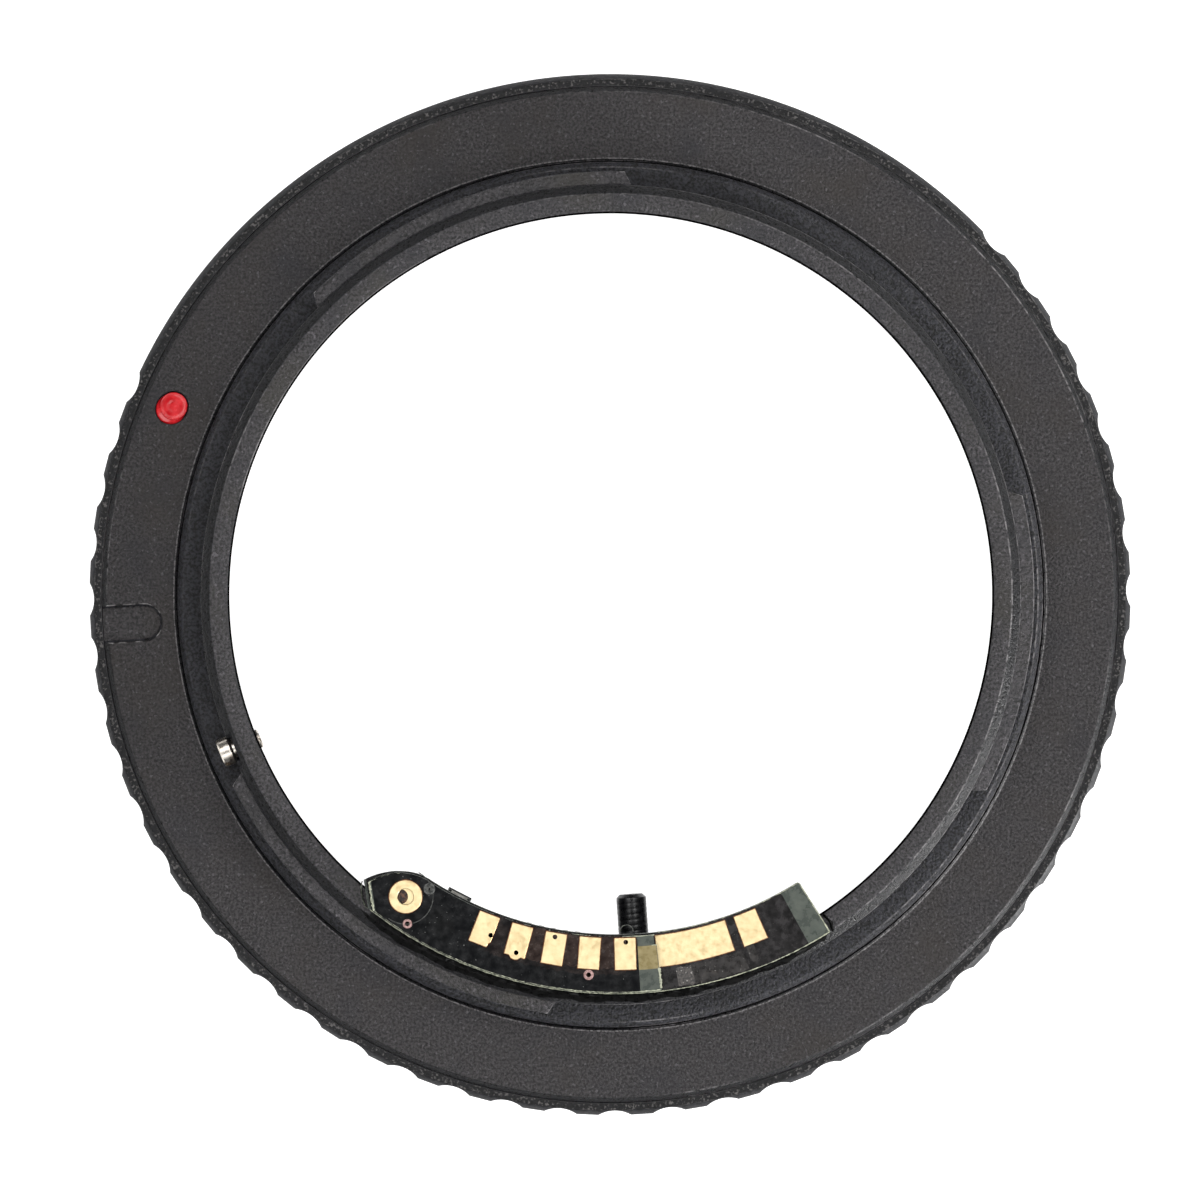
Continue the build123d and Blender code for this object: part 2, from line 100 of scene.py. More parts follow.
def linear(code: str) -> tuple[float, float, float, float]:
    """Turns an sRGB hex colour to linear.

    Args:
        code: six hex digits.

    Returns:
        Linear red, green, blue and an alpha of 1.
    """
    channels = [int(code[k:k + 2], 16) / 255 for k in (0, 2, 4)]
    bent = [c / 12.92 if c <= 0.04045 else ((c + 0.055) / 1.055) ** 2.4 for c in channels]
    return (bent[0], bent[1], bent[2], 1.0)


def polar(radius: float, angle: float) -> Point2:
    """Plan point at a radius and an angle in degrees."""
    return (radius * math.cos(math.radians(angle)), radius * math.sin(math.radians(angle)))


def spread(first: float, last: float, step: float) -> list[float]:
    """Evenly spaced values from first to last, both included, about a step apart."""
    count = max(1, math.ceil(abs(last - first) / step - 1e-9))
    return [first + (last - first) * k / count for k in range(count + 1)]


def bow(radius: float, start: float, end: float, step: float, centre: Point2 = (0.0, 0.0)) -> Outline:
    """Plan points along an arc from start to end, about a step of degrees apart."""
    points = (polar(radius, angle) for angle in spread(start, end, step))
    return [(centre[0] + x, centre[1] + y) for x, y in points]


def evenly(first: float, last: float, count: int) -> list[float]:
    """Values from first to last, both included, with a given number of steps."""
    return [first + (last - first) * k / count for k in range(count + 1)]


def rounded(points: Outline, size: float, steps: int = 3) -> Outline:
    """Rounds every corner of a closed outline.

    Args:
        points: the corners in order.
        size: how far from the corner the round starts, limited by the sides.
        steps: how many facets a round has.

    Returns:
        The outline with each corner replaced by a short curve.
    """
    result: Outline = []
    for k, corner in enumerate(points):
        here = Vector(corner)
        before = Vector(points[k - 1]) - here
        after = Vector(points[(k + 1) % len(points)]) - here
        start = here + before.normalized() * min(size, 0.45 * before.length)
        end = here + after.normalized() * min(size, 0.45 * after.length)
        for s in (step / steps for step in range(steps + 1)):
            point = start * (1 - s) ** 2 + here * 2 * s * (1 - s) + end * s**2
            result.append((point.x, point.y))
    return result


def worn(points: Outline, steps: int = 3) -> list[float]:
    """Marks the points of a rounded outline that stand on an outward corner.

    Args:
        points: the corners in order, as given to rounded.
        steps: how many facets a round has.

    Returns:
        For each point of the rounded outline, 1 where wear shows and 0 elsewhere.
    """
    turning = [0.0] * len(points)
    for k, (x, y) in enumerate(points):
        (a, b), (c, d) = points[k - 1], points[(k + 1) % len(points)]
        turning[k] = (x - a) * (d - y) - (y - b) * (c - x)
    pairs = [(points[k - 1], points[k]) for k in range(len(points))]
    area = sum(a * d - c * b for (a, b), (c, d) in pairs)
    marks = []
    for bend in turning:
        outward = 1.0 if bend * area > 0 else 0.0
        marks += [0.0] + [outward] * (steps - 1) + [0.0]
    return marks


def new_piece(name: str, points: list[Point3], faces: list[list[int]]) -> bpy.types.Object:
    """Makes a mesh object from points in millimetres, with smooth faces and sharp corners.

    Args:
        name: the piece's name.
        points: vertices in millimetres, in the row frame.
        faces: vertex indices of each face.

    Returns:
        The new object.
    """
    mesh = bpy.data.meshes.new(name)
    mesh.from_pydata([tuple(MM * c for c in point) for point in points], [], faces)
    tidy(mesh)
    piece = bpy.data.objects.new(name, mesh)
    bpy.context.scene.collection.objects.link(piece)
    return piece


def tidy(mesh: bpy.types.Mesh) -> None:
    """Merges doubled points, turns faces outwards and marks the sharp corners of a mesh.

    Args:
        mesh: the mesh, changed in place.
    """
    work = bmesh.new()
    work.from_mesh(mesh)
    bmesh.ops.remove_doubles(work, verts=work.verts, dist=1e-7)
    bmesh.ops.dissolve_degenerate(work, edges=work.edges, dist=1e-8)
    bmesh.ops.recalc_face_normals(work, faces=work.faces)
    work.to_mesh(mesh)
    work.free()
    mesh.shade_smooth()
    mesh.set_sharp_from_angle(angle=math.radians(SHARP_ANGLE))


def rub(piece: bpy.types.Object, section: Callable[[float], Outline], marks: list[float],
        gain: Callable[[float, float, float], float] = lambda angle, radius, z: 1.0) -> None:
    """Marks the worn corners of a turned piece, once its cuts are made.

    Args:
        piece: the mesh object.
        section: gives the (radius, z) outline at an angle.
        marks: for each point of the outline, 1 where wear shows and 0 elsewhere.
        gain: gives the strength of the wear at an angle, a radius and a height.
    """
    corners: dict[float, Outline] = {}
    wear = []
    for x, y, z in (tuple(vertex.co / MM) for vertex in piece.data.vertices):
        angle = round(math.degrees(math.atan2(y, x)) % 360.0, 4)
        if angle not in corners:
            corners[angle] = [point for point, mark in zip(section(angle), marks) if mark]
        radius = math.hypot(x, y)
        rubbed = any(abs(r - radius) + abs(h - z) < CORNER_REACH for r, h in corners[angle])
        wear.append(gain(angle, radius, z) if rubbed else 0.0)
    piece.data.attributes.new("wear", "FLOAT", "POINT").data.foreach_set("value", wear)


def lathe(name: str, section: Callable[[float], Outline], angles: list[float]) -> bpy.types.Object:
    """Turns a closed section about Z; the section may change with the angle but keeps its number of points.

    Args:
        name: the piece's name.
        section: gives the (radius, z) outline at an angle.
        angles: the angles of the columns, increasing, less than a full turn.

    Returns:
        The new object.
    """
    points: list[Point3] = []
    size = len(section(angles[0]))
    for angle in angles:
        points += [(*polar(radius, angle), z) for radius, z in section(angle)]
    faces = []
    for a in range(len(angles)):
        b = (a + 1) % len(angles)
        for k in range(size):
            m = (k + 1) % size
            faces.append([a * size + k, b * size + k, b * size + m, a * size + m])
    return new_piece(name, points, faces)


def skin(name: str, loops: list[list[Point3]]) -> bpy.types.Object:
    """Closed solid through a stack of loops, capped at both ends.

    Args:
        name: the piece's name.
        loops: the loops in order, all with the same number of points.

    Returns:
        The new object.
    """
    size = len(loops[0])
    points = [point for loop in loops for point in loop]
    faces = [list(range(size))[::-1], [(len(loops) - 1) * size + k for k in range(size)]]
    for level in range(len(loops) - 1):
        low = level * size
        for k in range(size):
            m = (k + 1) % size
            faces.append([low + k, low + m, low + size + m, low + size + k])
    return new_piece(name, points, faces)


def level(outline: Outline, z: float) -> list[Point3]:
    """Plan outline put at a height."""
    return [(x, y, z) for x, y in outline]


def circle(radius: float, count: int = 48, centre: Point2 = (0.0, 0.0)) -> Outline:
    """Round plan outline."""
    points = (polar(radius, 360 * k / count) for k in range(count))
    return [(centre[0] + x, centre[1] + y) for x, y in points]


def block(half_x: float, half_y: float) -> Outline:
    """Rectangular plan outline about its middle."""
    return [(-half_x, -half_y), (half_x, -half_y), (half_x, half_y), (-half_x, half_y)]


def sector(inner: float, outer: float, start: float, end: float, count: int = 24) -> Outline:
    """Plan outline of a ring sector.

    Args:
        inner: inner radius.
        outer: outer radius.
        start: angle of the first end.
        end: angle of the last end.
        count: how many steps each arc has.

    Returns:
        The outer arc, then the inner one back.
    """
    out = [polar(outer, angle) for angle in evenly(start, end, count)]
    back = [polar(inner, angle) for angle in evenly(end, start, count)]
    return out + back


def slab(name: str, outline: Outline, low: float, high: float) -> bpy.types.Object:
    """Straight solid between two heights."""
    return skin(name, [level(outline, low), level(outline, high)])


def spindle(name: str, levels: list[Point2], count: int = 48) -> bpy.types.Object:
    """Solid of round steps and cones about Z, from pairs of radius and height."""
    return skin(name, [level(circle(radius, count), z) for radius, z in levels])


def plate(name: str, outline: Callable[[float], Outline], low: float, high: float,
          edge: float) -> bpy.types.Object:
    """Flat plate with broken edges.

    Args:
        name: the piece's name.
        outline: gives the plan outline, moved inwards by an inset.
        low: height of the underside.
        high: height of the top.
        edge: size of the edge break.

    Returns:
        The new object.
    """
    return skin(name, [
        level(outline(edge), low),
        level(outline(0.0), low + edge),
        level(outline(0.0), high - edge),
        level(outline(edge), high),
    ])


def cut(piece: bpy.types.Object, cutters: list[bpy.types.Object]) -> None:
    """Cuts other solids out of a piece and deletes them.

    Args:
        piece: the mesh object, changed in place.
        cutters: the solids to take away.
    """
    for cutter in cutters:
        change = piece.modifiers.new("cut", "BOOLEAN")
        change.operation = "DIFFERENCE"
        change.solver = "EXACT"
        change.object = cutter
    bake(piece)
    for cutter in cutters:
        bpy.data.objects.remove(cutter)


def bake(piece: bpy.types.Object) -> None:
    """Replaces a piece's mesh by what its modifiers give, and drops them.

    Args:
        piece: the mesh object.
    """
    graph = bpy.context.evaluated_depsgraph_get()
    mesh = bpy.data.meshes.new_from_object(piece.evaluated_get(graph))
    piece.modifiers.clear()
    piece.data = mesh
    tidy(mesh)


def turn(piece: bpy.types.Object, matrix: Matrix) -> bpy.types.Object:
    """Moves a piece's points, with the matrix's translation in metres."""
    piece.data.transform(matrix)
    return piece


def spin(angle: float) -> Matrix:
    """Matrix that turns about Z by degrees."""
    return Matrix.Rotation(math.radians(angle), 4, "Z")


def radial(angle: float, height: float) -> Matrix:
    """Matrix that lays +Z on the outward radius at an angle and a height in millimetres."""
    up = Matrix.Translation((0, 0, height * MM))
    return spin(angle) @ up @ Matrix.Rotation(math.radians(90), 4, "Y")


def at_polar(radius: float, angle: float, height: float = 0.0) -> Matrix:
    """Matrix that moves a piece to a radius, an angle and a height, turned to face outwards."""
    return spin(angle) @ Matrix.Translation((radius * MM, 0, height * MM))


def add_node(tree: bpy.types.NodeTree, kind: str, inputs: dict | None = None,
             stops: list[tuple[float, tuple]] | None = None, **settings) -> bpy.types.Node:
    """Adds a node.

    Args:
        tree: the node tree.
        kind: Blender's name of the node type.
        inputs: for each input, by name or number, a constant or the socket that feeds it.
        stops: places and colours, where the node has a colour band.
        settings: attributes of the node.

    Returns:
        The new node.
    """
    node = tree.nodes.new(kind)
    for name, value in settings.items():
        setattr(node, name, value)
    for key, value in (inputs or {}).items():
        if isinstance(value, bpy.types.NodeSocket):
            tree.links.new(value, node.inputs[key])
        else:
            node.inputs[key].default_value = value
    for number, (place, colour) in enumerate(stops or []):
        band = node.color_ramp.elements
        element = band[number] if number < 2 else band.new(place)
        element.position = place
        element.color = colour
    return node


@dataclass(frozen=True)
class Layer:
    """Something lying on a finish in patches: its colour, patch size, how much of the surface it takes."""

    colour: str
    size_mm: float
    cover: float
    strength: float = 1.0
    soft: float = 0.06

    def laid(self, tree: bpy.types.NodeTree, where: bpy.types.NodeSocket, below: bpy.types.NodeSocket,
             number: int) -> bpy.types.NodeSocket:
        """Mixes the layer over a colour.

        Args:
            tree: the node tree.
            where: coordinates in metres.
            below: the colour that it lies on.
            number: which layer it is, so that no two have the same patches.

        Returns:
            The mixed colour.
        """
        patches = add_node(tree, "ShaderNodeTexNoise", {
            "W": 7.0 * number, "Vector": where, "Scale": 1 / (self.size_mm * MM), "Detail": 2.0,
        }, noise_dimensions="4D").outputs["Fac"]
        share = add_node(tree, "ShaderNodeMapRange", {
            "Value": patches, "From Min": 1 - self.cover, "From Max": 1 - self.cover + self.soft,
            "To Min": 0.0, "To Max": self.strength,
        }).outputs["Result"]
        return add_node(tree, "ShaderNodeMix", {0: share, 6: below, 7: linear(self.colour)},
                        data_type="RGBA").outputs[2]


@dataclass(frozen=True)
class Finish:
    """A surface finish: a dark and a light tint broken up by grain, with layers, wear and bump."""

    name: str
    dark: str
    light: str
    roughness: float
    grain_mm: float
    bump_mm: float = 0.0
    metallic: float = 0.0
    specular: float = 0.5
    spread: float = 0.14
    coat: float = 0.0
    layers: tuple[Layer, ...] = ()
    bare: str = ""

    def material(self) -> bpy.types.Material:
        """Builds the material, or gives the one built before.

        Returns:
            The node material, named for the finish.
        """
        made = bpy.data.materials.get(self.name)
        if made:
            return made
        made = bpy.data.materials.new(self.name)
        made.use_nodes = True
        tree = made.node_tree
        shader = tree.nodes["Principled BSDF"]
        shader.inputs["Metallic"].default_value = self.metallic
        shader.inputs["Specular IOR Level"].default_value = self.specular
        shader.inputs["Coat Weight"].default_value = self.coat
        shader.inputs["Coat Roughness"].default_value = COAT_ROUGHNESS
        where = add_node(tree, "ShaderNodeTexCoord").outputs["Object"]
        grain = add_node(tree, "ShaderNodeTexNoise", {
            "Vector": where, "Scale": 1 / (self.grain_mm * MM), "Detail": 3.0, "Roughness": 0.6,
        }).outputs["Fac"]
        colour = add_node(tree, "ShaderNodeValToRGB", {"Fac": grain}, [
            (0.5 - self.spread, linear(self.dark)), (0.5 + self.spread, linear(self.light)),
        ]).outputs["Color"]
        for number, layer in enumerate(self.layers, start=1):
            colour = layer.laid(tree, where, colour, number)
        if self.bare:
            colour = self.rubbed(tree, where, colour)
        rough = add_node(tree, "ShaderNodeMapRange", {
            "Value": grain, "From Min": 0.3, "From Max": 0.7,
            "To Min": max(0.02, self.roughness - ROUGHNESS_SWING),
            "To Max": min(1.0, self.roughness + ROUGHNESS_SWING),
        }).outputs["Result"]
        tree.links.new(colour, shader.inputs["Base Color"])
        tree.links.new(rough, shader.inputs["Roughness"])
        if self.bump_mm:
            bump = add_node(tree, "ShaderNodeBump", {
                "Height": grain, "Distance": self.bump_mm * MM, "Strength": 1.0,
            }).outputs["Normal"]
            tree.links.new(bump, shader.inputs["Normal"])
        return made

    def rubbed(self, tree: bpy.types.NodeTree, where: bpy.types.NodeSocket,
               below: bpy.types.NodeSocket) -> bpy.types.NodeSocket:
        """Shows the bare metal on worn corners: in dashes, or all along where the wear is strong.

        Args:
            tree: the node tree.
            where: coordinates in metres.
            below: the colour of the sound finish.

        Returns:
            The mixed colour.
        """
        wear = add_node(tree, "ShaderNodeAttribute", attribute_name="wear").outputs["Fac"]
        dashes = add_node(tree, "ShaderNodeTexNoise", {
            "Vector": where, "Scale": 1 / (DASH_MM * MM), "Detail": 4.0, "Roughness": 0.7,
        }).outputs["Fac"]
        places = add_node(tree, "ShaderNodeMapRange", {
            "Value": dashes, "From Min": 0.4, "From Max": 0.62,
        }).outputs["Result"]
        region = add_node(tree, "ShaderNodeTexNoise", {
            "Vector": where, "Scale": 1 / (REGION_MM * MM),
        }).outputs["Fac"]
        side = add_node(tree, "ShaderNodeVectorMath", {0: where, 1: (3.0, 1.5, 0.0)},
                        operation="DOT_PRODUCT").outputs["Value"]
        region = add_node(tree, "ShaderNodeMath", {0: region, 1: side}, operation="ADD").outputs[0]
        regions = add_node(tree, "ShaderNodeMapRange", {
            "Value": region, "From Min": 0.46, "From Max": 0.62, "To Min": 0.03,
        }).outputs["Result"]
        places = add_node(tree, "ShaderNodeMath", {0: places, 1: regions}, operation="MULTIPLY").outputs[0]
        share = add_node(tree, "ShaderNodeMath", {0: wear, 1: places}, operation="MULTIPLY").outputs[0]
        strong = add_node(tree, "ShaderNodeMath", {0: wear, 1: FULL_WEAR}, operation="SUBTRACT").outputs[0]
        share = add_node(tree, "ShaderNodeMath", {0: share, 1: strong}, operation="MAXIMUM").outputs[0]
        return add_node(tree, "ShaderNodeMix", {0: share, 6: below, 7: linear(self.bare)},
                        data_type="RGBA").outputs[2]


# Aluminium, blasted with fine beads and dyed black: an even charcoal with a fine sparkle, rubbed on its edges
BLASTED = Finish(
    "anodised_aluminium_blasted", "040405", "3d3a3d", 0.42, 0.17, 0.12, spread=0.1, bare="7d7a7b",
    layers=(Layer("2b2820", 4.4, 0.5, 0.6, 0.2), Layer("15151d", 3.1, 0.48, 0.6, 0.2),
            Layer("686469", 0.24, 0.39, 0.5, 0.06)),
)
# Its flange face: the same blasted grain, darker as painted shade from the pilot and boss that stand over it,
# and a little browner
FLANGE = Finish(
    "anodised_aluminium_flange_painted_shade", "030203", "363234", 0.43, 0.17, 0.12, specular=0.44, spread=0.1,
    bare="7d7a7b",
    layers=(Layer("241d17", 4.8, 0.5, 0.6, 0.25), Layer("101019", 3.6, 0.48, 0.6, 0.25),
            Layer("5e5b5f", 0.24, 0.39, 0.5, 0.06)),
)
# A sharp edge where handling took the dye off in dashes
RUBBED = Finish("aluminium_edge_rubbed_bare", "6c6a6a", "a8a5a5", 0.45, 0.2, 0.01, metallic=0.2,
                layers=(Layer("1c1b1c", 0.8, 0.55, 0.95, 0.1),))
# The same alloy where a turning tool cut its steps: smoother, and darker and bluer than the blasted faces as
# painted shade of the recesses round the boss
STEPPED_SHADE = Finish(
    "anodised_aluminium_stepped_painted_shade", "030304", "323238", 0.42, 0.17, 0.15, specular=0.44, spread=0.09,
    bare="7d7a7b",
    layers=(Layer("030304", 1.6, 0.45, 0.4, 0.2), Layer("444144", 0.2, 0.34, 0.5, 0.05)),
)
# Its slopes, cut last and smooth: they mirror the dim room, and their near-black colour paints in that shade,
# so they look darker than the faces
SLOPED_SHADE = Finish(
    "anodised_aluminium_sloped_painted_shade", "010102", "121216", 0.32, 0.17, 0.08, specular=0.36, spread=0.08,
    bare="7d7a7b", layers=(Layer("3a3839", 0.2, 0.34, 0.5, 0.05),),
)
# The small round at the pilot's foot: a paler line, a painted highlight along that edge
COVE_HIGHLIGHT = Finish("anodised_aluminium_cove_painted_highlight", "262425", "6a6768", 0.42, 0.17, 0.06, specular=0.6,
                   spread=0.08)
# The same alloy in the bore, blackened matt against flare
BAFFLED = Finish("anodised_aluminium_baffled", "040404", "0b0a0a", 0.85, 0.3, 0.03, specular=0.0)
# The same alloy as turned and milled, then dyed: darker, with coarse tool flecks and pits
TURNED = Finish(
    "anodised_aluminium_turned", "0a0a0d", "1b1b20", 0.42, 0.2, 0.04, specular=0.42, spread=0.1,
    bare="6a6867",
    layers=(Layer("040405", 0.3, 0.42, 0.7), Layer("6a6867", 0.16, 0.3, 0.5, 0.04)),
)
# Its end faces, parted off rough: torn black pits with bright flecks of bare metal, all darkened as painted
# shade from the flange's overhanging edge
PARTED = Finish(
    "anodised_aluminium_parted_painted_shade", "040405", "161619", 0.55, 0.16, 0.07, specular=0.3, spread=0.08,
    bare="6a6867",
    layers=(Layer("000000", 0.17, 0.46, 0.9), Layer("646160", 0.15, 0.46, 0.8, 0.12)),
)
# Steel with black oxide: deep black, smooth and oily
OXIDE = Finish("steel_black_oxide", "08080a", "141417", 0.3, 0.3, 0.004, specular=0.55,
               layers=(Layer("303033", 0.3, 0.4, 0.4),))
# Steel with bright nickel: a warm silver that mirrors softly, with tan patches that paint in warm reflections
NICKEL = Finish("steel_nickel_plated", "c9c2b8", "e4ded4", 0.3, 0.25, 0.004, metallic=1.0,
                layers=(Layer("a88a6c", 0.6, 0.48, 0.7, 0.2),))
# Enamel dropped in a pit: saturated and glossy, a little cloudy inside
ENAMEL = Finish("enamel_red", "c6161f", "e02a31", 0.22, 0.6, 0.01, specular=0.4, coat=0.35,
                layers=(Layer("8e0d14", 0.9, 0.42, 0.4, 0.2),))
# Two-part glue, cured black: wet gloss
EPOXY = Finish("epoxy_black_cured", "030303", "080808", 0.3, 0.4, 0.012, specular=0.2)
# Glue that cured clear: pale grey-green threads with bright spots
GLUE = Finish("epoxy_clear_cured", "4d5148", "8b9081", 0.15, 0.3, 0.02,
              layers=(Layer("c8ccb8", 0.2, 0.35, 0.7),))
# Black solder mask, screen printed: glossy, with lint and dust lying on it
MASK = Finish(
    "solder_mask_black", "0c0d0f", "111214", 0.2, 0.6, 0.001, specular=0.45,
    layers=(Layer("191918", 2.2, 0.45, 0.5, 0.3), Layer("9a9c98", 0.12, 0.285, 0.7, 0.03)),
)
# The same mask over a copper pour, which shows through brown
MASK_COPPER = Finish("solder_mask_over_copper", "241a17", "33251f", 0.24, 0.5, 0.002, specular=0.45,
                     layers=(Layer("131214", 0.7, 0.47, 0.8, 0.25),))
# The rim of that pour, where less copper lies under the mask
MASK_TINTED = Finish("solder_mask_over_copper_rim", "181414", "221a18", 0.22, 0.6, 0.002, specular=0.45,
                     layers=(Layer("0e0f11", 0.8, 0.5, 0.9, 0.25),))
# The lower board's mask, rubbed by the camera's pins
MASK_RUBBED = Finish(
    "solder_mask_rubbed", "151414", "221f20", 0.26, 0.5, 0.002, specular=0.45,
    layers=(Layer("0d0d0e", 1.1, 0.42, 0.35, 0.25), Layer("8f8c88", 0.11, 0.28, 0.6, 0.04)),
)
# The same mask where grey dust stuck to it
DUSTY = Finish(
    "solder_mask_dusty", "1a1817", "2c2928", 0.3, 0.4, 0.002, specular=0.45,
    layers=(Layer("45403d", 0.6, 0.44, 0.6, 0.2), Layer("a5a29d", 0.13, 0.33, 0.7, 0.04)),
)
# Lint caught in that dust: paler, in small tufts
LINT = Finish("solder_mask_under_lint", "252322", "4d4845", 0.5, 0.16, 0.004, spread=0.1,
              layers=(Layer("b9b5b0", 0.16, 0.38, 0.7, 0.05),))
# Mask stretched thin over a copper track: a lighter line
TRACK = Finish("solder_mask_over_track", "2d2f2e", "4c4d4a", 0.25, 0.2, 0.003)
# Glass fibre laminate where the mask stops: grey-green, slightly clear
FIBRE = Finish("glass_fibre_laminate", "434944", "525850", 0.3, 0.5, 0.003,
               layers=(Layer("3c4540", 1.4, 0.45, 0.35, 0.3), Layer("7d8276", 0.14, 0.26, 0.25)))
# The same laminate over the lower board's gold, which warms it from below
FIBRE_GOLD = Finish("glass_fibre_over_gold", "857850", "96885e", 0.3, 0.35, 0.003,
                    layers=(Layer("6b6447", 0.9, 0.45, 0.5, 0.25),))
# Sawn edge of the laminate: pale broken fibres
SAWN = Finish("glass_fibre_sawn_edge", "8e927c", "c6c8b0", 0.5, 0.2, 0.02,
              layers=(Layer("5a6052", 0.6, 0.42, 0.7, 0.15),))
# Gold flashed on copper, slightly matt from the plating bath
GOLD = Finish("gold_plated_copper", "e2cb9b", "ebd8ac", 0.42, 0.4, 0.002, metallic=1.0,
              layers=(Layer("dcb583", 0.7, 0.36, 0.22, 0.2),))
# Copper edge of a pad where the gold ends: a thin orange-brown line
COPPER_EDGE = Finish("copper_edge_tarnished", "5f371f", "a4673a", 0.45, 0.15, 0.003, metallic=0.6)
# Copper ring of a via, seen through thin mask
VIA = Finish("copper_via_under_mask", "85625e", "bb9894", 0.35, 0.12, 0.004, metallic=0.2)
# Bottom of a via: no light gets out
HOLE = Finish("drilled_via_dark", "040302", "120b08", 0.8, 0.12, 0.01, specular=0.0)
# Floor of the wide hole at the nose: burnt brown laminate
BURNT = Finish("drilled_laminate_burnt", "1d110b", "6b4a36", 0.6, 0.2, 0.02, spread=0.1)
# Epoxy moulding of a chip package: sooty, finely sparked
PACKAGE = Finish("epoxy_moulding_black", "101010", "212121", 0.6, 0.1, 0.008,
                 layers=(Layer("3b3b3b", 0.15, 0.33, 0.4),))
# Fired ceramic of a capacitor: dense warm grey
CERAMIC = Finish("capacitor_ceramic_fired", "8d8a84", "b4b2ac", 0.4, 0.2, 0.004)
# Tin on terminals and legs: soft silver
TIN = Finish("tin_plated_copper", "9b9a97", "c9c8c5", 0.35, 0.14, 0.004, metallic=1.0)


def dress(piece: bpy.types.Object, finish: Finish, body: Body,
          replaced: tuple[str, ...] = ()) -> None:
    """Gives a piece its finish, its body and the nodes that it stands for.

    Args:
        piece: the mesh object.
        finish: its finish.
        body: the body that it moves with.
        replaced: nodes that the piece stands for.
    """
    piece.data.materials.clear()
    piece.data.materials.append(finish.material())
    even = piece.modifiers.new("even_normals", "WEIGHTED_NORMAL")
    even.keep_sharp = True
    even.weight = 60
    if replaced:
        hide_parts(*replaced)
    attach(piece, body.value)
    LOG.info("%s: %d faces, %s, on %s", piece.name, len(piece.data.polygons), finish.name, body.value)


def zone(piece: bpy.types.Object, finishes: tuple[Finish, ...],
         choose: Callable[[float, float, float], int]) -> None:
    """Gives the faces of a turned piece further finishes.

    Args:
        piece: the dressed mesh object.
        finishes: the further finishes, numbered from 1.
        choose: gives the finish's number from a face's radius, height and upward share of its normal.
    """
    for finish in finishes:
        piece.data.materials.append(finish.material())
    for face in piece.data.polygons:
        x, y, z = face.center / MM
        face.material_index = choose(math.hypot(x, y), z, face.normal.z)


class Zone(IntEnum):
    """Places on the camera mount with finishes of their own, numbered as its material slots."""

    FACE = 0
    STEP = 1
    BORE = 2
    FLANGE = 3
    SLOT_EDGE = 4
    SLOPE = 5
    COVE = 6


# Finishes of the zones after the first, in their order
ZONE_FINISHES = (STEPPED_SHADE, BAFFLED, FLANGE, RUBBED, SLOPED_SHADE, COVE_HIGHLIGHT)


@dataclass
class Arcs:
    """Claws or lugs round a boss: how far round they reach, with ends that slope down to the boss."""

    spans: tuple[Point2, ...]
    end_slope: float

    def reach(self, angle: float) -> float:
        """Share of the full reach at an angle.

        Args:
            angle: the place's angle.

        Returns:
            0 in a gap, 1 on a claw, between them on a slope.
        """
        best = 0.0
        for start, end in self.spans:
            for whole in (-360.0, 0.0, 360.0):
                inside = min(angle + whole - start, end - angle - whole)
                best = max(best, min(1.0, inside / self.end_slope))
        return max(0.0, best)

    def ends(self) -> list[float]:
        """Angles where a slope starts or stops."""
        corners = ((start, start + self.end_slope, end - self.end_slope, end) for start, end in self.spans)
        return [place % 360.0 for four in corners for place in four]

    def columns(self, step: float) -> list[float]:
        """Column angles round the turn, with more of them at the ends of each span.

        Args:
            step: degrees between even columns.

        Returns:
            The angles, increasing.
        """
        angles = set(spread(0.0, 360.0, step)[:-1])
        angles.update(round(place, 6) for place in self.ends())
        return sorted(angles)


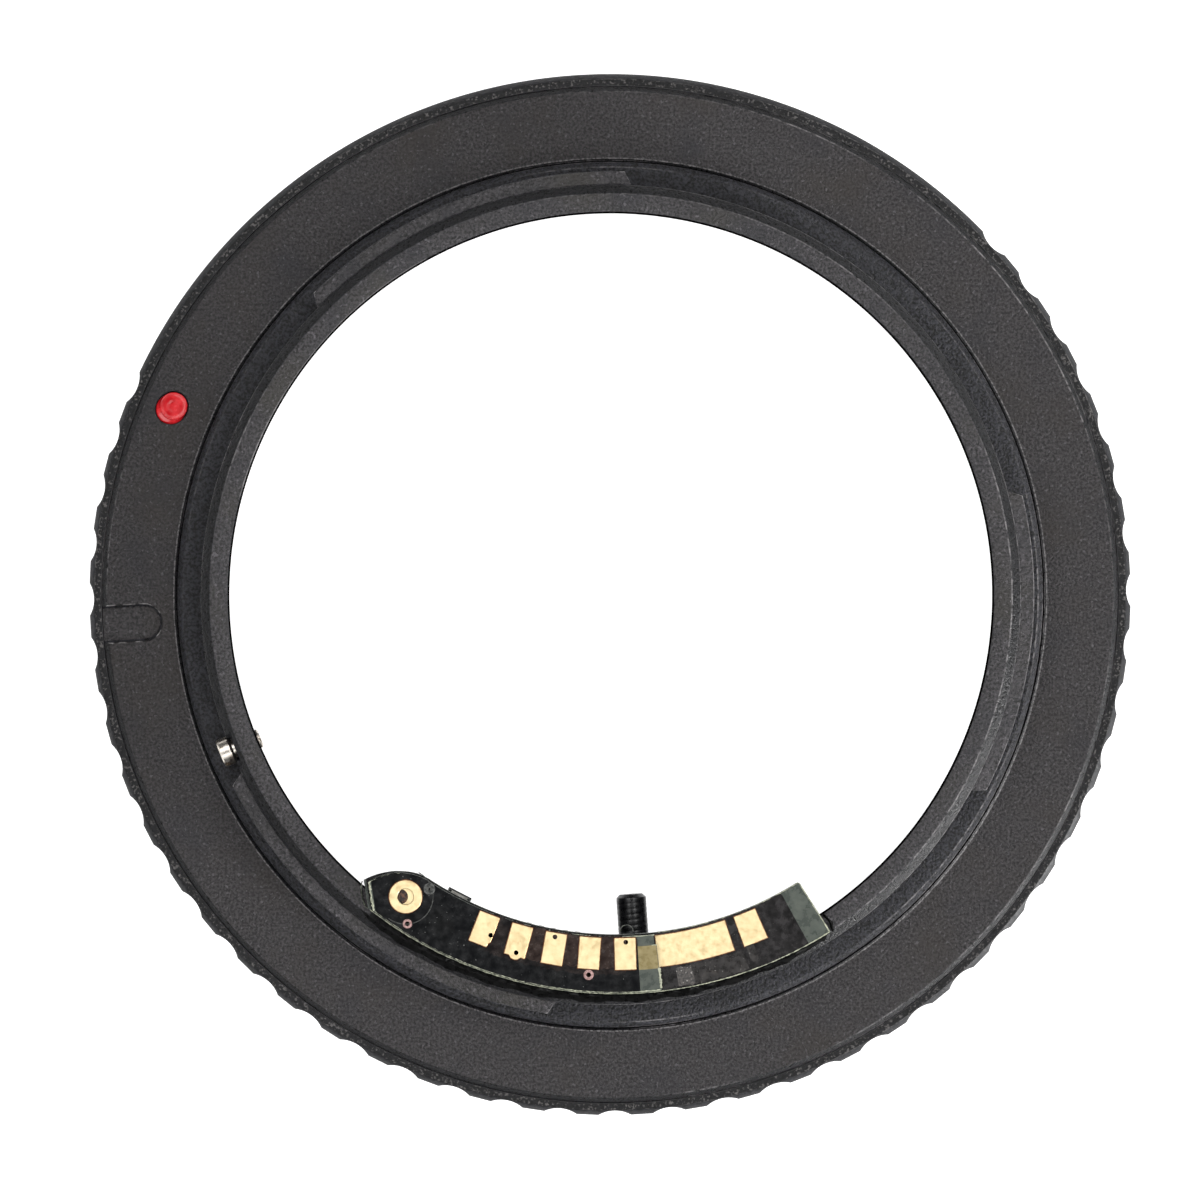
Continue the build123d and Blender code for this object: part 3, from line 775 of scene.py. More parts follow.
@dataclass
class CameraMount:
    """The rear piece: flange, pilot and boss turned in one, with three milled claws."""

    flange_radius: float = 32.03
    flange_thickness: float = 1.8
    flange_chamfer: float = 0.3
    cove_radius: float = 27.56
    cove_facets: tuple[Point2, ...] = ((0.12, 0.05), (0.2, 0.14))
    pilot_radius: float = 27.24
    pilot_height: float = 0.9
    pilot_face_radius: float = 26.92
    pilot_chamfer_drop: float = 0.3
    pilot_groove: Point2 = (0.07, 0.01)
    claw_radius: float = 26.55
    claw_bottom: float = 1.9
    claw_top: float = 3.3
    claw_spans: tuple[Point2, ...] = ((87.1, 135.6), (205.7, 262.4), (331.5, 374.6))
    claw_end_slope: float = 1.06
    boss_radius: float = 25.7
    boss_face_radius: float = 25.13
    boss_top: float = 3.9
    boss_chamfer_drop: float = 0.4
    lip_radius: float = 23.9
    lip_thickness: float = 0.8
    lip_chamfer: float = 0.1
    lip_chamfer_drop: float = 0.28
    throat_radius: float = 24.6
    spigot_radius: float = 25.5
    spigot_depth: float = 0.8
    slot_angle: float = 183.4
    slot_width: float = 2.3
    slot_end_radius: float = 28.3
    slot_depth: float = 0.55
    slot_floor_edge: float = 0.12
    dot_radius: float = 30.02
    dot_angle: float = 156.9
    pit_radius: float = 1.0
    pit_stretch: float = 1.1
    pit_slant: float = 45.0
    pit_depth: float = 0.5
    pit_brim: float = 0.02
    stop_angle: float = 202.2
    stop_level: float = 2.1
    stop_hole: float = 0.62
    stop_seat: float = 25.45
    stop_seat_radius: float = 1.04
    stop_drill: Point2 = (22.0, 26.8)
    flat_radii: Point2 = (25.36, 26.9)
    flat_ends: Point2 = (-1.0, 1.35)
    flat_corner: Point2 = (0.1, 0.25)
    flat_rise: float = 0.68
    worn_bore: Point2 = (118.0, 166.0)
    worn_cove: Point2 = (55.0, 112.0)
    edge: float = 0.07

    def corners(self) -> Outline:
        """Corners of the section through a claw.

        Returns:
            The (radius, z) corners in order, from the throat's floor outwards and round over the boss.
        """
        floor = -self.flange_thickness - self.spigot_depth
        return [
            (self.throat_radius, floor),
            (self.spigot_radius, floor),
            (self.spigot_radius, -self.flange_thickness),
            (self.flange_radius, -self.flange_thickness),
            (self.flange_radius, -self.flange_chamfer),
            (self.flange_radius - self.flange_chamfer, 0.0),
            (self.cove_radius, 0.0),
            *[(self.cove_radius - inwards, rise) for inwards, rise in self.cove_facets],
            *[(self.pilot_radius + away, 0.0) for away in self.pilot_groove],
            (self.pilot_radius, self.pilot_height - self.pilot_chamfer_drop),
            (self.pilot_face_radius, self.pilot_height),
            (self.boss_radius, self.pilot_height),
            (self.boss_radius, self.claw_bottom),
            (self.claw_radius, self.claw_bottom),
            (self.claw_radius, self.claw_top),
            (self.boss_radius, self.claw_top),
            (self.boss_radius, self.boss_top - self.boss_chamfer_drop),
            (self.boss_face_radius, self.boss_top),
            (self.lip_radius + self.lip_chamfer, self.boss_top),
            (self.lip_radius, self.boss_top - self.lip_chamfer_drop),
            (self.lip_radius, self.boss_top - self.lip_thickness),
            (self.throat_radius, self.boss_top - self.lip_thickness - self.throat_radius + self.lip_radius),
        ]

    def section(self, claws: Arcs) -> Callable[[float], Outline]:
        """Section of the turned body, with the claw drawn out where there is one.

        Args:
            claws: the claws.

        Returns:
            A function that gives the (radius, z) outline at an angle.
        """
        full = rounded(self.corners(), self.edge)
        boss = self.boss_radius
        low, high = self.claw_bottom - self.edge, self.claw_top + self.edge
        drawn = [low <= z <= high and r > boss for r, z in full]

        def at(angle: float) -> Outline:
            """Outline at an angle."""
            share = claws.reach(angle)
            return [(boss + (r - boss) * share, z) if out else (r, z) for (r, z), out in zip(full, drawn)]

        return at

    def slot_outline(self, inset: float) -> Outline:
        """Plan of the lock-pin slot, open at the rim, round at its inner end.

        Args:
            inset: how far the sides are moved in.

        Returns:
            The plan outline, with the slot along +X.
        """
        half = self.slot_width / 2 - inset
        centre = self.slot_end_radius + self.slot_width / 2
        rim = self.flange_radius + 1.0
        return bow(half, 90.0, 270.0, 6.0, (centre, 0.0)) + [(rim, -half), (rim, half)]

    def slot_cutter(self) -> bpy.types.Object:
        """Solid that cuts the lock-pin slot with broken edges.

        Returns:
            The cutter.
        """
        edge, low = self.edge, -self.slot_depth
        floor_edge = self.slot_floor_edge
        levels = [(floor_edge, low), (0.0, low + floor_edge), (0.0, -edge), (-edge, 0.0), (-edge, 1.0)]
        solid = skin("slot_cutter", [level(self.slot_outline(inset), z) for inset, z in levels])
        return turn(solid, spin(self.slot_angle))

    def pit_cutter(self) -> bpy.types.Object:
        """Solid that drills the index dot's pit, a little longer than wide.

        Returns:
            The cutter.
        """
        drill, brim = self.pit_radius, self.pit_radius + self.pit_brim
        levels = [(drill, -self.pit_depth), (drill, -self.pit_brim), (brim, 0.0), (brim, 1.0)]
        solid = spindle("pit_cutter", levels)
        turn(solid, spin(self.pit_slant - self.dot_angle) @ Matrix.Scale(self.pit_stretch, 4, (1, 0, 0)))
        return turn(solid, at_polar(self.dot_radius, self.dot_angle))

    def stop_cutter(self) -> bpy.types.Object:
        """Solid that drills the stop screw's hole and flat seat.

        Returns:
            The cutter.
        """
        first, last = self.stop_drill
        hole, wide, seat = self.stop_hole, self.stop_seat_radius, self.stop_seat
        solid = spindle("stop_cutter", [(hole, first), (hole, seat), (wide, seat), (wide, last)], 32)
        return turn(solid, radial(self.stop_angle, self.stop_level))

    def flat_cutter(self) -> bpy.types.Object:
        """Solid that mills the flat beside the stop screw's head.

        Returns:
            The cutter.
        """
        (inner, outer), (near, far) = self.flat_radii, self.flat_ends
        deep, along = self.flat_corner
        plan = [(inner, near), (outer, near), (outer, far), (inner + deep, far), (inner, far - along)]
        solid = slab("flat_cutter", plan, self.stop_level + self.flat_rise, self.boss_top + 0.5)
        return turn(solid, spin(self.stop_angle))

    def build(self) -> bpy.types.Object:
        """Builds and dresses the piece.

        Returns:
            The mesh object.
        """
        claws = Arcs(self.claw_spans, self.claw_end_slope)
        section = self.section(claws)
        piece = lathe("camera_mount_body", section, claws.columns(1.0))
        cut(piece, [self.slot_cutter(), self.pit_cutter(), self.stop_cutter(), self.flat_cutter()])
        rub(piece, section, worn(self.corners()), lambda *place: self.wear_at(claws, *place))
        dress(piece, BLASTED, Body.MOUNT, ("camera_mount",))
        zone(piece, ZONE_FINISHES, self.zone_at)
        return piece

    def wear_at(self, claws: Arcs, angle: float, radius: float, z: float) -> float:
        """Strength of the wear on a corner: most at claw ends, then on part of the bore and of the cove.

        Args:
            claws: the claws.
            angle: the place's angle.
            radius: its radius.
            z: its height.

        Returns:
            1 where wear comes in dashes, more where it goes all along.
        """
        if self.claw_bottom - 0.1 < z < self.claw_top + 0.02:
            return 8.0 if any(abs(angle - end) < 0.01 for end in claws.ends()) else 1.0
        if radius < self.lip_radius + 0.2 and z > self.boss_top - 0.1:
            return 2.9 if self.worn_bore[0] < angle < self.worn_bore[1] else 0.2
        if abs(radius - self.cove_radius) < 0.1 and self.worn_cove[0] < angle < self.worn_cove[1]:
            return 2.6
        return 1.0

    def zone_at(self, radius: float, z: float, up: float) -> Zone:
        """Zone that a face lies in.

        Args:
            radius: the radius of its middle.
            z: its height.
            up: upward share of its normal.

        Returns:
            The zone.
        """
        if radius < self.lip_radius + 0.12 and up < 0.7:
            return Zone.BORE
        if up > 0.98 and radius > self.cove_radius and (abs(z) < 0.03 or abs(z + self.slot_depth) < 0.03):
            return Zone.FLANGE
        if 0.4 < up < 0.9 and -self.edge < z < -0.02 and self.slot_end_radius - 0.1 < radius < 31.7:
            return Zone.SLOT_EDGE
        if self.cove_radius - 0.1 < radius < self.cove_radius + 0.05 and 0.3 < up < 0.995 and z > 0.0:
            return Zone.COVE
        on_boss = self.boss_face_radius < radius < self.boss_radius and z > self.claw_top
        at_foot = self.pilot_radius - 0.03 < radius < self.cove_radius and -0.2 < z < self.pilot_height - 0.25
        at_rim = radius > self.flange_radius - self.flange_chamfer - 0.02 and z > -self.flange_chamfer - 0.02
        if up < 0.97 and (on_boss or at_foot or at_rim):
            return Zone.SLOPE
        return Zone.FACE if up > 0.98 and z > self.claw_top - 0.03 else Zone.STEP


@dataclass
class ApertureRing:
    """The turning ring: a fluted grip with lips round both mounts."""

    rim_radius: float = 32.85
    recess_radius: float = 32.055
    bore_radius: float = 29.1
    web_top: float = -1.86
    web_bottom: float = -5.94
    lip_top: float = -0.4
    lip_bottom: float = -7.1
    chamfer: float = 0.33
    flute_count: int = 42
    flute_pitch: float = 6.0
    flute_first: float = 156.5
    flute_radius: float = 2.0
    flute_depth: float = 0.3
    lever_angle: float = 274.0
    lever_level: float = -3.9
    lever_hole: float = 0.97
    lever_drill: Point2 = (27.0, 35.0)
    edge: float = 0.05

    def flute_centres(self) -> list[float]:
        """Angles of the flutes."""
        return [(self.flute_first + k * self.flute_pitch) % 360.0 for k in range(self.flute_count)]

    def cutter_reach(self) -> float:
        """Radius that the flute cutter's middle stands at."""
        return self.rim_radius - self.flute_depth + self.flute_radius

    def flute_half_angle(self) -> float:
        """Half of a flute's width, as an angle about the axis.

        Returns:
            The angle in degrees.
        """
        far = self.cutter_reach()
        cosine = (far**2 + self.rim_radius**2 - self.flute_radius**2) / (2 * far * self.rim_radius)
        return math.degrees(math.acos(cosine))

    def outer(self, angle: float) -> float:
        """Radius of the grip.

        Args:
            angle: the place's angle.

        Returns:
            The radius there, smaller in a flute.
        """
        far = self.cutter_reach()
        radius = self.rim_radius
        for centre in self.flute_centres():
            away = math.radians((angle - centre + 180.0) % 360.0 - 180.0)
            under = self.flute_radius**2 - (far * math.sin(away)) ** 2
            if abs(away) < math.radians(self.flute_pitch / 2) and under > 0:
                radius = min(radius, far * math.cos(away) - math.sqrt(under))
        return radius

    def columns(self) -> list[float]:
        """Column angles: a few across each flute, and even ones on the plain arc.

        Returns:
            The angles, increasing.
        """
        half = self.flute_half_angle()
        shares = [-1.0, -0.97, *evenly(-0.8, 0.8, 8), 0.97, 1.0]
        angles = {round((centre + share * half) % 360.0, 6)
                  for centre in self.flute_centres() for share in shares}
        last = self.flute_first + (self.flute_count - 1) * self.flute_pitch - 360.0
        plain = spread(last + half, self.flute_first - half, 1.0)[1:-1]
        angles.update(round(angle, 6) for angle in plain)
        return sorted(angles)

    def corners(self, angle: float) -> Outline:
        """Corners of the section; the flutes run out through the chamfers.

        Args:
            angle: the section's angle.

        Returns:
            The (radius, z) corners in order, from the bore's lower edge outwards.
        """
        outer = self.outer(angle)
        shoulder = self.rim_radius - self.chamfer
        top = min(shoulder, outer - self.edge / 2)
        drop = max(self.edge / 2, outer - shoulder)
        return [
            (self.bore_radius, self.web_bottom),
            (self.recess_radius, self.web_bottom),
            (self.recess_radius, self.lip_bottom),
            (top, self.lip_bottom),
            (outer, self.lip_bottom + drop),
            (outer, self.lip_top - drop),
            (top, self.lip_top),
            (self.recess_radius, self.lip_top),
            (self.recess_radius, self.web_top),
            (self.bore_radius, self.web_top),
        ]

    def section(self, angle: float) -> Outline:
        """Rounded section at an angle."""
        return rounded(self.corners(angle), self.edge, 2)

    def build(self) -> bpy.types.Object:
        """Builds and dresses the piece.

        Returns:
            The mesh object.
        """
        piece = lathe("aperture_ring_grip", self.section, self.columns())
        hole = slab("lever_cutter", circle(self.lever_hole, 32), *self.lever_drill)
        cut(piece, [turn(hole, radial(self.lever_angle, self.lever_level))])
        rub(piece, self.section, worn(self.corners(self.flute_first), 2))
        dress(piece, TURNED, Body.RING, ("aperture_ring",))
        zone(piece, (PARTED,), lambda radius, z, up: int(abs(up) > 0.95 and radius > self.recess_radius))
        return piece


@dataclass
class AssemblyScrews:
    """Countersunk cross-head screws that hold the two mounts together."""

    circle_radius: float = 27.5
    angles: tuple[float, ...] = (79.5, 100.5, 199.5, 220.5, 319.5, 340.5)
    head_radius: float = 1.35
    head_edge: float = 0.06
    shank_radius: float = 0.85
    face: float = -7.45
    tip: float = -0.45
    cross_length: float = 0.8
    cross_width: float = 0.2
    cross_depth: float = 0.55
    cross_taper: Point2 = (0.35, 0.6)
    clearance: float = 0.02

    def neck(self) -> float:
        """Height where the head's cone meets the shank."""
        return self.face + self.head_radius - self.shank_radius

    def hole(self, angle: float) -> bpy.types.Object:
        """Solid that cuts one countersunk hole.

        Args:
            angle: the hole's angle.

        Returns:
            The cutter.
        """
        head = self.head_radius + self.clearance
        shank = self.shank_radius + self.clearance
        levels = [(head, self.face - 1.0), (head, self.face), (shank, self.neck()), (shank, self.tip + 3.0)]
        return turn(spindle("screw_cutter", levels, 32), at_polar(self.circle_radius, angle))

    def screw(self, angle: float) -> bpy.types.Object:
        """One screw with a tapered cross recess.

        Args:
            angle: the screw's angle, which also says how far it was driven round.

        Returns:
            The mesh object.
        """
        rim, edge = self.head_radius, self.head_edge
        shank = self.shank_radius
        levels = [(rim - edge, self.face), (rim, self.face + edge), (shank, self.neck()), (shank, self.tip)]
        solid = spindle("screw", levels, 32)
        mouth = block(self.cross_length, self.cross_width)
        floor = [(x * self.cross_taper[0], y * self.cross_taper[1]) for x, y in mouth]
        arms = []
        for turned in (0.0, 90.0):
            arm = skin("cross", [level(mouth, self.face - 0.3), level(mouth, self.face),
                                 level(floor, self.face + self.cross_depth)])
            arms.append(turn(arm, spin(turned + 20.0 * angle)))
        cut(solid, arms)
        return turn(solid, at_polar(self.circle_radius, angle))

    def build(self) -> bpy.types.Object:
        """Builds all the screws as one piece and dresses it.

        Returns:
            The mesh object.
        """
        work = bmesh.new()
        for angle in self.angles:
            one = self.screw(angle)
            work.from_mesh(one.data)
            bpy.data.objects.remove(one)
        mesh = bpy.data.meshes.new("assembly_screws")
        work.to_mesh(mesh)
        work.free()
        tidy(mesh)
        piece = bpy.data.objects.new("assembly_screw_set", mesh)
        bpy.context.scene.collection.objects.link(piece)
        dress(piece, OXIDE, Body.MOUNT, ("assembly_screws",))
        return piece


@dataclass
class LensMount:
    """The front piece: hub, plate and breech boss with three lugs."""

    throat_radius: float = 24.6
    socket_radius: float = 25.53
    socket_floor: float = -2.66
    hub_top: float = -1.8
    hub_radius: float = 29.05
    plate_top: float = -6.0
    plate_front: float = -7.5
    plate_radius: float = 32.03
    plate_chamfer: float = 0.3
    breech_radius: float = 26.0
    breech_front: float = -11.0
    breech_chamfer: float = 0.15
    lug_radius: float = 27.4
    lug_thickness: float = 1.6
    lug_span: float = 62.0
    lug_end_slope: float = 1.4
    lug_centres: tuple[float, ...] = (30.0, 150.0, 270.0)
    notch_angle: float = 90.0
    notch_width: float = 2.2
    notch_depth: float = 1.6
    notch_radii: Point2 = (23.0, 28.5)
    dot_radius: float = 30.02
    dot_angle: float = 90.0
    pit_radius: float = 1.06
    pit_depth: float = 0.5
    lever_angle: float = 274.0
    lever_travel: float = 38.0
    window_half: float = 1.13
    window_over: float = 0.8
    edge: float = 0.05

    def section(self, lugs: Arcs) -> Callable[[float], Outline]:
        """Section of the turned body, with the lug drawn out where there is one.

        Args:
            lugs: the breech lugs.

        Returns:
            A function that gives the (radius, z) outline at an angle.
        """
        front, chamfer = self.breech_front, self.breech_chamfer
        lug_top = front + self.lug_thickness
        body = [
            (self.breech_radius, lug_top),
            (self.breech_radius, self.plate_front),
            (self.plate_radius - self.plate_chamfer, self.plate_front),
            (self.plate_radius, self.plate_front + self.plate_chamfer),
            (self.plate_radius, self.plate_top),
            (self.hub_radius, self.plate_top),
            (self.hub_radius, self.hub_top),
            (self.socket_radius, self.hub_top),
            (self.socket_radius, self.socket_floor),
            (self.throat_radius, self.socket_floor),
        ]

        def breech(reach: float, shoulder: float) -> Outline:
            """Corners of the breech, out to a radius and up to a shoulder."""
            foot = [(self.throat_radius, front), (reach - chamfer, front)]
            return foot + [(reach, front + chamfer), (reach, shoulder)]

        plain = rounded(breech(self.breech_radius, lug_top - self.edge) + body, self.edge)
        drawn = rounded(breech(self.lug_radius, lug_top) + body, self.edge)

        def at(angle: float) -> Outline:
            """Outline at an angle."""
            share = lugs.reach(angle)
            return [(r + (q - r) * share, z + (y - z) * share) for (r, z), (q, y) in zip(plain, drawn)]

        return at

    def window_cutter(self) -> bpy.types.Object:
        """Solid that cuts the lever's window through the hub, with round ends.

        Returns:
            The cutter.
        """
        path = [(self.lever_angle, *point) for point in bow(self.window_half, 90.0, 270.0, 15.0)]
        last = self.lever_angle + self.lever_travel
        path += [(last, *point) for point in bow(self.window_half, -90.0, 90.0, 15.0)]
        centre = self.hub_top - (self.hub_top - self.plate_top) / 2
        loops = []
        for radius in (self.throat_radius - self.window_over, self.hub_radius + self.window_over):
            loops.append([(*polar(radius, angle + math.degrees(across / self.hub_radius)), centre + up)
                          for angle, across, up in path])
        return skin("window_cutter", loops)

    def cutters(self, screws: AssemblyScrews) -> list[bpy.types.Object]:
        """Solids that cut the notch, the dot's pit, the window and the countersinks.

        Args:
            screws: the screws that come through the plate.

        Returns:
            The cutters.
        """
        half = self.notch_width / 2
        near, far = self.notch_radii
        box = [(near, -half), (far, -half), (far, half), (near, half)]
        notch = slab("notch_cutter", box, self.breech_front - 1.0, self.breech_front + self.notch_depth)
        drill, brim = self.pit_radius, self.pit_radius + self.edge
        face = self.plate_front
        pit = spindle("lens_pit_cutter", [
            (brim, face - 1.0), (brim, face), (drill, face + self.edge), (drill, face + self.pit_depth),
        ])
        solids = [turn(notch, spin(self.notch_angle)), turn(pit, at_polar(self.dot_radius, self.dot_angle)),
                  self.window_cutter()]
        return solids + [screws.hole(angle) for angle in screws.angles]

    def build(self, screws: AssemblyScrews) -> bpy.types.Object:
        """Builds and dresses the piece.

        Args:
            screws: the screws that come through the plate.

        Returns:
            The mesh object.
        """
        half = self.lug_span / 2
        spans = tuple((centre - half, centre + half) for centre in self.lug_centres)
        lugs = Arcs(spans, self.lug_end_slope)
        piece = lathe("lens_mount_body", self.section(lugs), lugs.columns(1.0))
        cut(piece, self.cutters(screws))
        dress(piece, BLASTED, Body.MOUNT, ("lens_mount",))
        return piece


def driver_slot(width: float, depth: float, top: float) -> bpy.types.Object:
    """Solid that saws a screwdriver's slot across an end."""
    return slab("driver_slot", block(2.0, width / 2), top - depth, top + 1.0)


@dataclass
class LeverStud:
    """Headless threaded stud that stands into the throat."""

    radius: float = 0.95
    tip: float = 19.04
    end: float = 31.75
    chamfer: float = 0.22
    pitch: float = 0.35
    thread_depth: float = 0.011
    angle: float = 274.0
    height: float = -3.9
    rows_per_turn: int = 8
    columns: int = 40
    slot_width: float = 0.35
    slot_depth: float = 0.5

    def build(self) -> bpy.types.Object:
        """Builds the stud with a true helical thread and dresses it.

        Returns:
            The mesh object.
        """
        loops = []
        for place in spread(self.tip, self.end, self.pitch / self.rows_per_turn):
            ends = min(place - self.tip, self.end - place)
            body = self.radius - max(0.0, self.chamfer - ends)
            loop = []
            for k in range(self.columns):
                turns = place / self.pitch - k / self.columns
                wave = (0.5 - 0.5 * math.cos(2 * math.pi * turns)) ** 3
                loop.append((*polar(body - self.thread_depth * wave, 360.0 * k / self.columns), place))
            loops.append(loop)
        piece = skin("lever_stud_thread", loops)
        cut(piece, [driver_slot(self.slot_width, self.slot_depth, self.end)])
        turn(piece, radial(self.angle, self.height))
        dress(piece, OXIDE, Body.RING, ("lever_stud",))
        return piece


@dataclass
class StopScrew:
    """Slotted cheese-head screw beside a claw."""

    angle: float = 202.2
    height: float = 2.1
    head_radius: float = 0.9
    head_taper: Point2 = (0.2, 0.15)
    seat: float = 25.6
    head_top: float = 26.45
    shank_radius: float = 0.6
    tip: float = 23.74
    slot_width: float = 0.3
    slot_depth: float = 0.35
    slot_turn: float = 125.0
    edge: float = 0.08

    def build(self) -> bpy.types.Object:
        """Builds the screw and dresses it.

        Returns:
            The mesh object.
        """
        narrow, rise = self.head_taper
        piece = spindle("stop_screw_head", [
            (self.shank_radius - self.edge, self.tip), (self.shank_radius, self.tip + self.edge),
            (self.shank_radius, self.seat), (self.head_radius - narrow, self.seat),
            (self.head_radius, self.seat + rise), (self.head_radius, self.head_top - self.edge),
            (self.head_radius - self.edge, self.head_top),
        ], 40)
        slot = driver_slot(self.slot_width, self.slot_depth, self.head_top)
        cut(piece, [turn(slot, spin(self.slot_turn))])
        turn(piece, radial(self.angle, self.height))
        dress(piece, NICKEL, Body.MOUNT, ("stop_screw",))
        return piece


@dataclass
class IndexDot:
    """Drop of red enamel in its pit, with a flat rounded top that set a little askew.

    The profile gives shares of the radius and of the thickness, from the pit's floor to the top's middle.
    """

    name: str
    node: str
    angle: float
    face: float
    outward: float
    circle_radius: float = 30.02
    radius: float = 1.0
    sink: float = 0.05
    thickness: float = 0.45
    askew: Point2 = (0.09, 0.1)
    profile: tuple[Point2, ...] = (
        (0.94, 0.0), (0.94, 0.5), (0.93, 0.56), (0.91, 0.6), (0.89, 0.65), (0.88, 0.8), (0.87, 0.88),
        (0.84, 0.95), (0.79, 0.985), (0.74, 0.98), (0.68, 0.95), (0.55, 0.93), (0.4, 0.95), (0.28, 0.985),
        (0.18, 1.0), (0.08, 0.99), (0.02, 0.985),
    )

    def build(self) -> bpy.types.Object:
        """Builds the drop and dresses it.

        Returns:
            The mesh object.
        """
        low = -self.sink - self.thickness
        loops = []
        for share, rise in self.profile:
            lean = 2.0 * min(1.0, max(0.0, rise - 0.6) / 0.2) - 1.0
            centre = (self.askew[0] * lean, self.askew[1] * lean)
            loops.append(level(circle(self.radius * share, 48, centre), low + self.thickness * rise))
        piece = skin(self.name, loops)
        turn(piece, spin(-self.angle))
        if self.outward < 0:
            turn(piece, Matrix.Rotation(math.pi, 4, "X"))
        turn(piece, at_polar(self.circle_radius, self.angle, self.face))
        dress(piece, ENAMEL, Body.MOUNT, (self.node,))
        return piece


@dataclass(frozen=True)
class Via:
    """Plated hole between board layers, with or without a copper ring round it."""

    radius: float
    angle: float
    ring: float = 0.0
    hole: float = 0.15


@dataclass(frozen=True)
class Patch:
    """Film on a board in the shape of a ring sector, its points pushed about at random by up to rag."""

    name: str
    radii: Point2
    angles: Point2
    base: float
    thickness: float
    finish: Finish
    count: int = 24
    rag: float = 0.0
    seed: int = 0

    def build(self) -> bpy.types.Object:
        """Builds the film, rooted a little below its base.

        Returns:
            The mesh object.
        """
        dice = random.Random(self.seed)
        outline = [(x + dice.uniform(-self.rag, self.rag), y + dice.uniform(-self.rag, self.rag))
                   for x, y in sector(*self.radii, *self.angles, self.count)]
        return slab(self.name, outline, self.base - 0.02, self.base + self.thickness)


@dataclass(frozen=True)
class Strand:
    """Thin ragged ribbon along a plan path, such as a sawn edge or a thread of glue."""

    name: str
    path: Outline
    height: float
    width: float
    thickness: float
    seed: int
    finish: Finish = SAWN

    def build(self) -> bpy.types.Object:
        """Builds the ribbon, its width, rise and drift drawn at random along the path.

        Returns:
            The mesh object.
        """
        dice = random.Random(self.seed)
        last = len(self.path) - 1
        low = self.height - self.thickness
        loops = []
        for k, point in enumerate(self.path):
            here = Vector(point)
            ahead = Vector(self.path[min(k + 1, last)]) - Vector(self.path[max(k - 1, 0)])
            side = Vector((-ahead.y, ahead.x)).normalized()
            half = self.width * dice.uniform(0.3, 1.0) / 2
            rise = self.thickness * dice.uniform(0.4, 1.0)
            drift = side * dice.uniform(-0.12, 0.12) * self.width
            left, right = here + drift - side * half, here + drift + side * half
            loops.append([(*left, low), (*right, low), (*right, self.height), (*here, self.height + rise),
                          (*left, self.height)])
        return skin(self.name, loops)


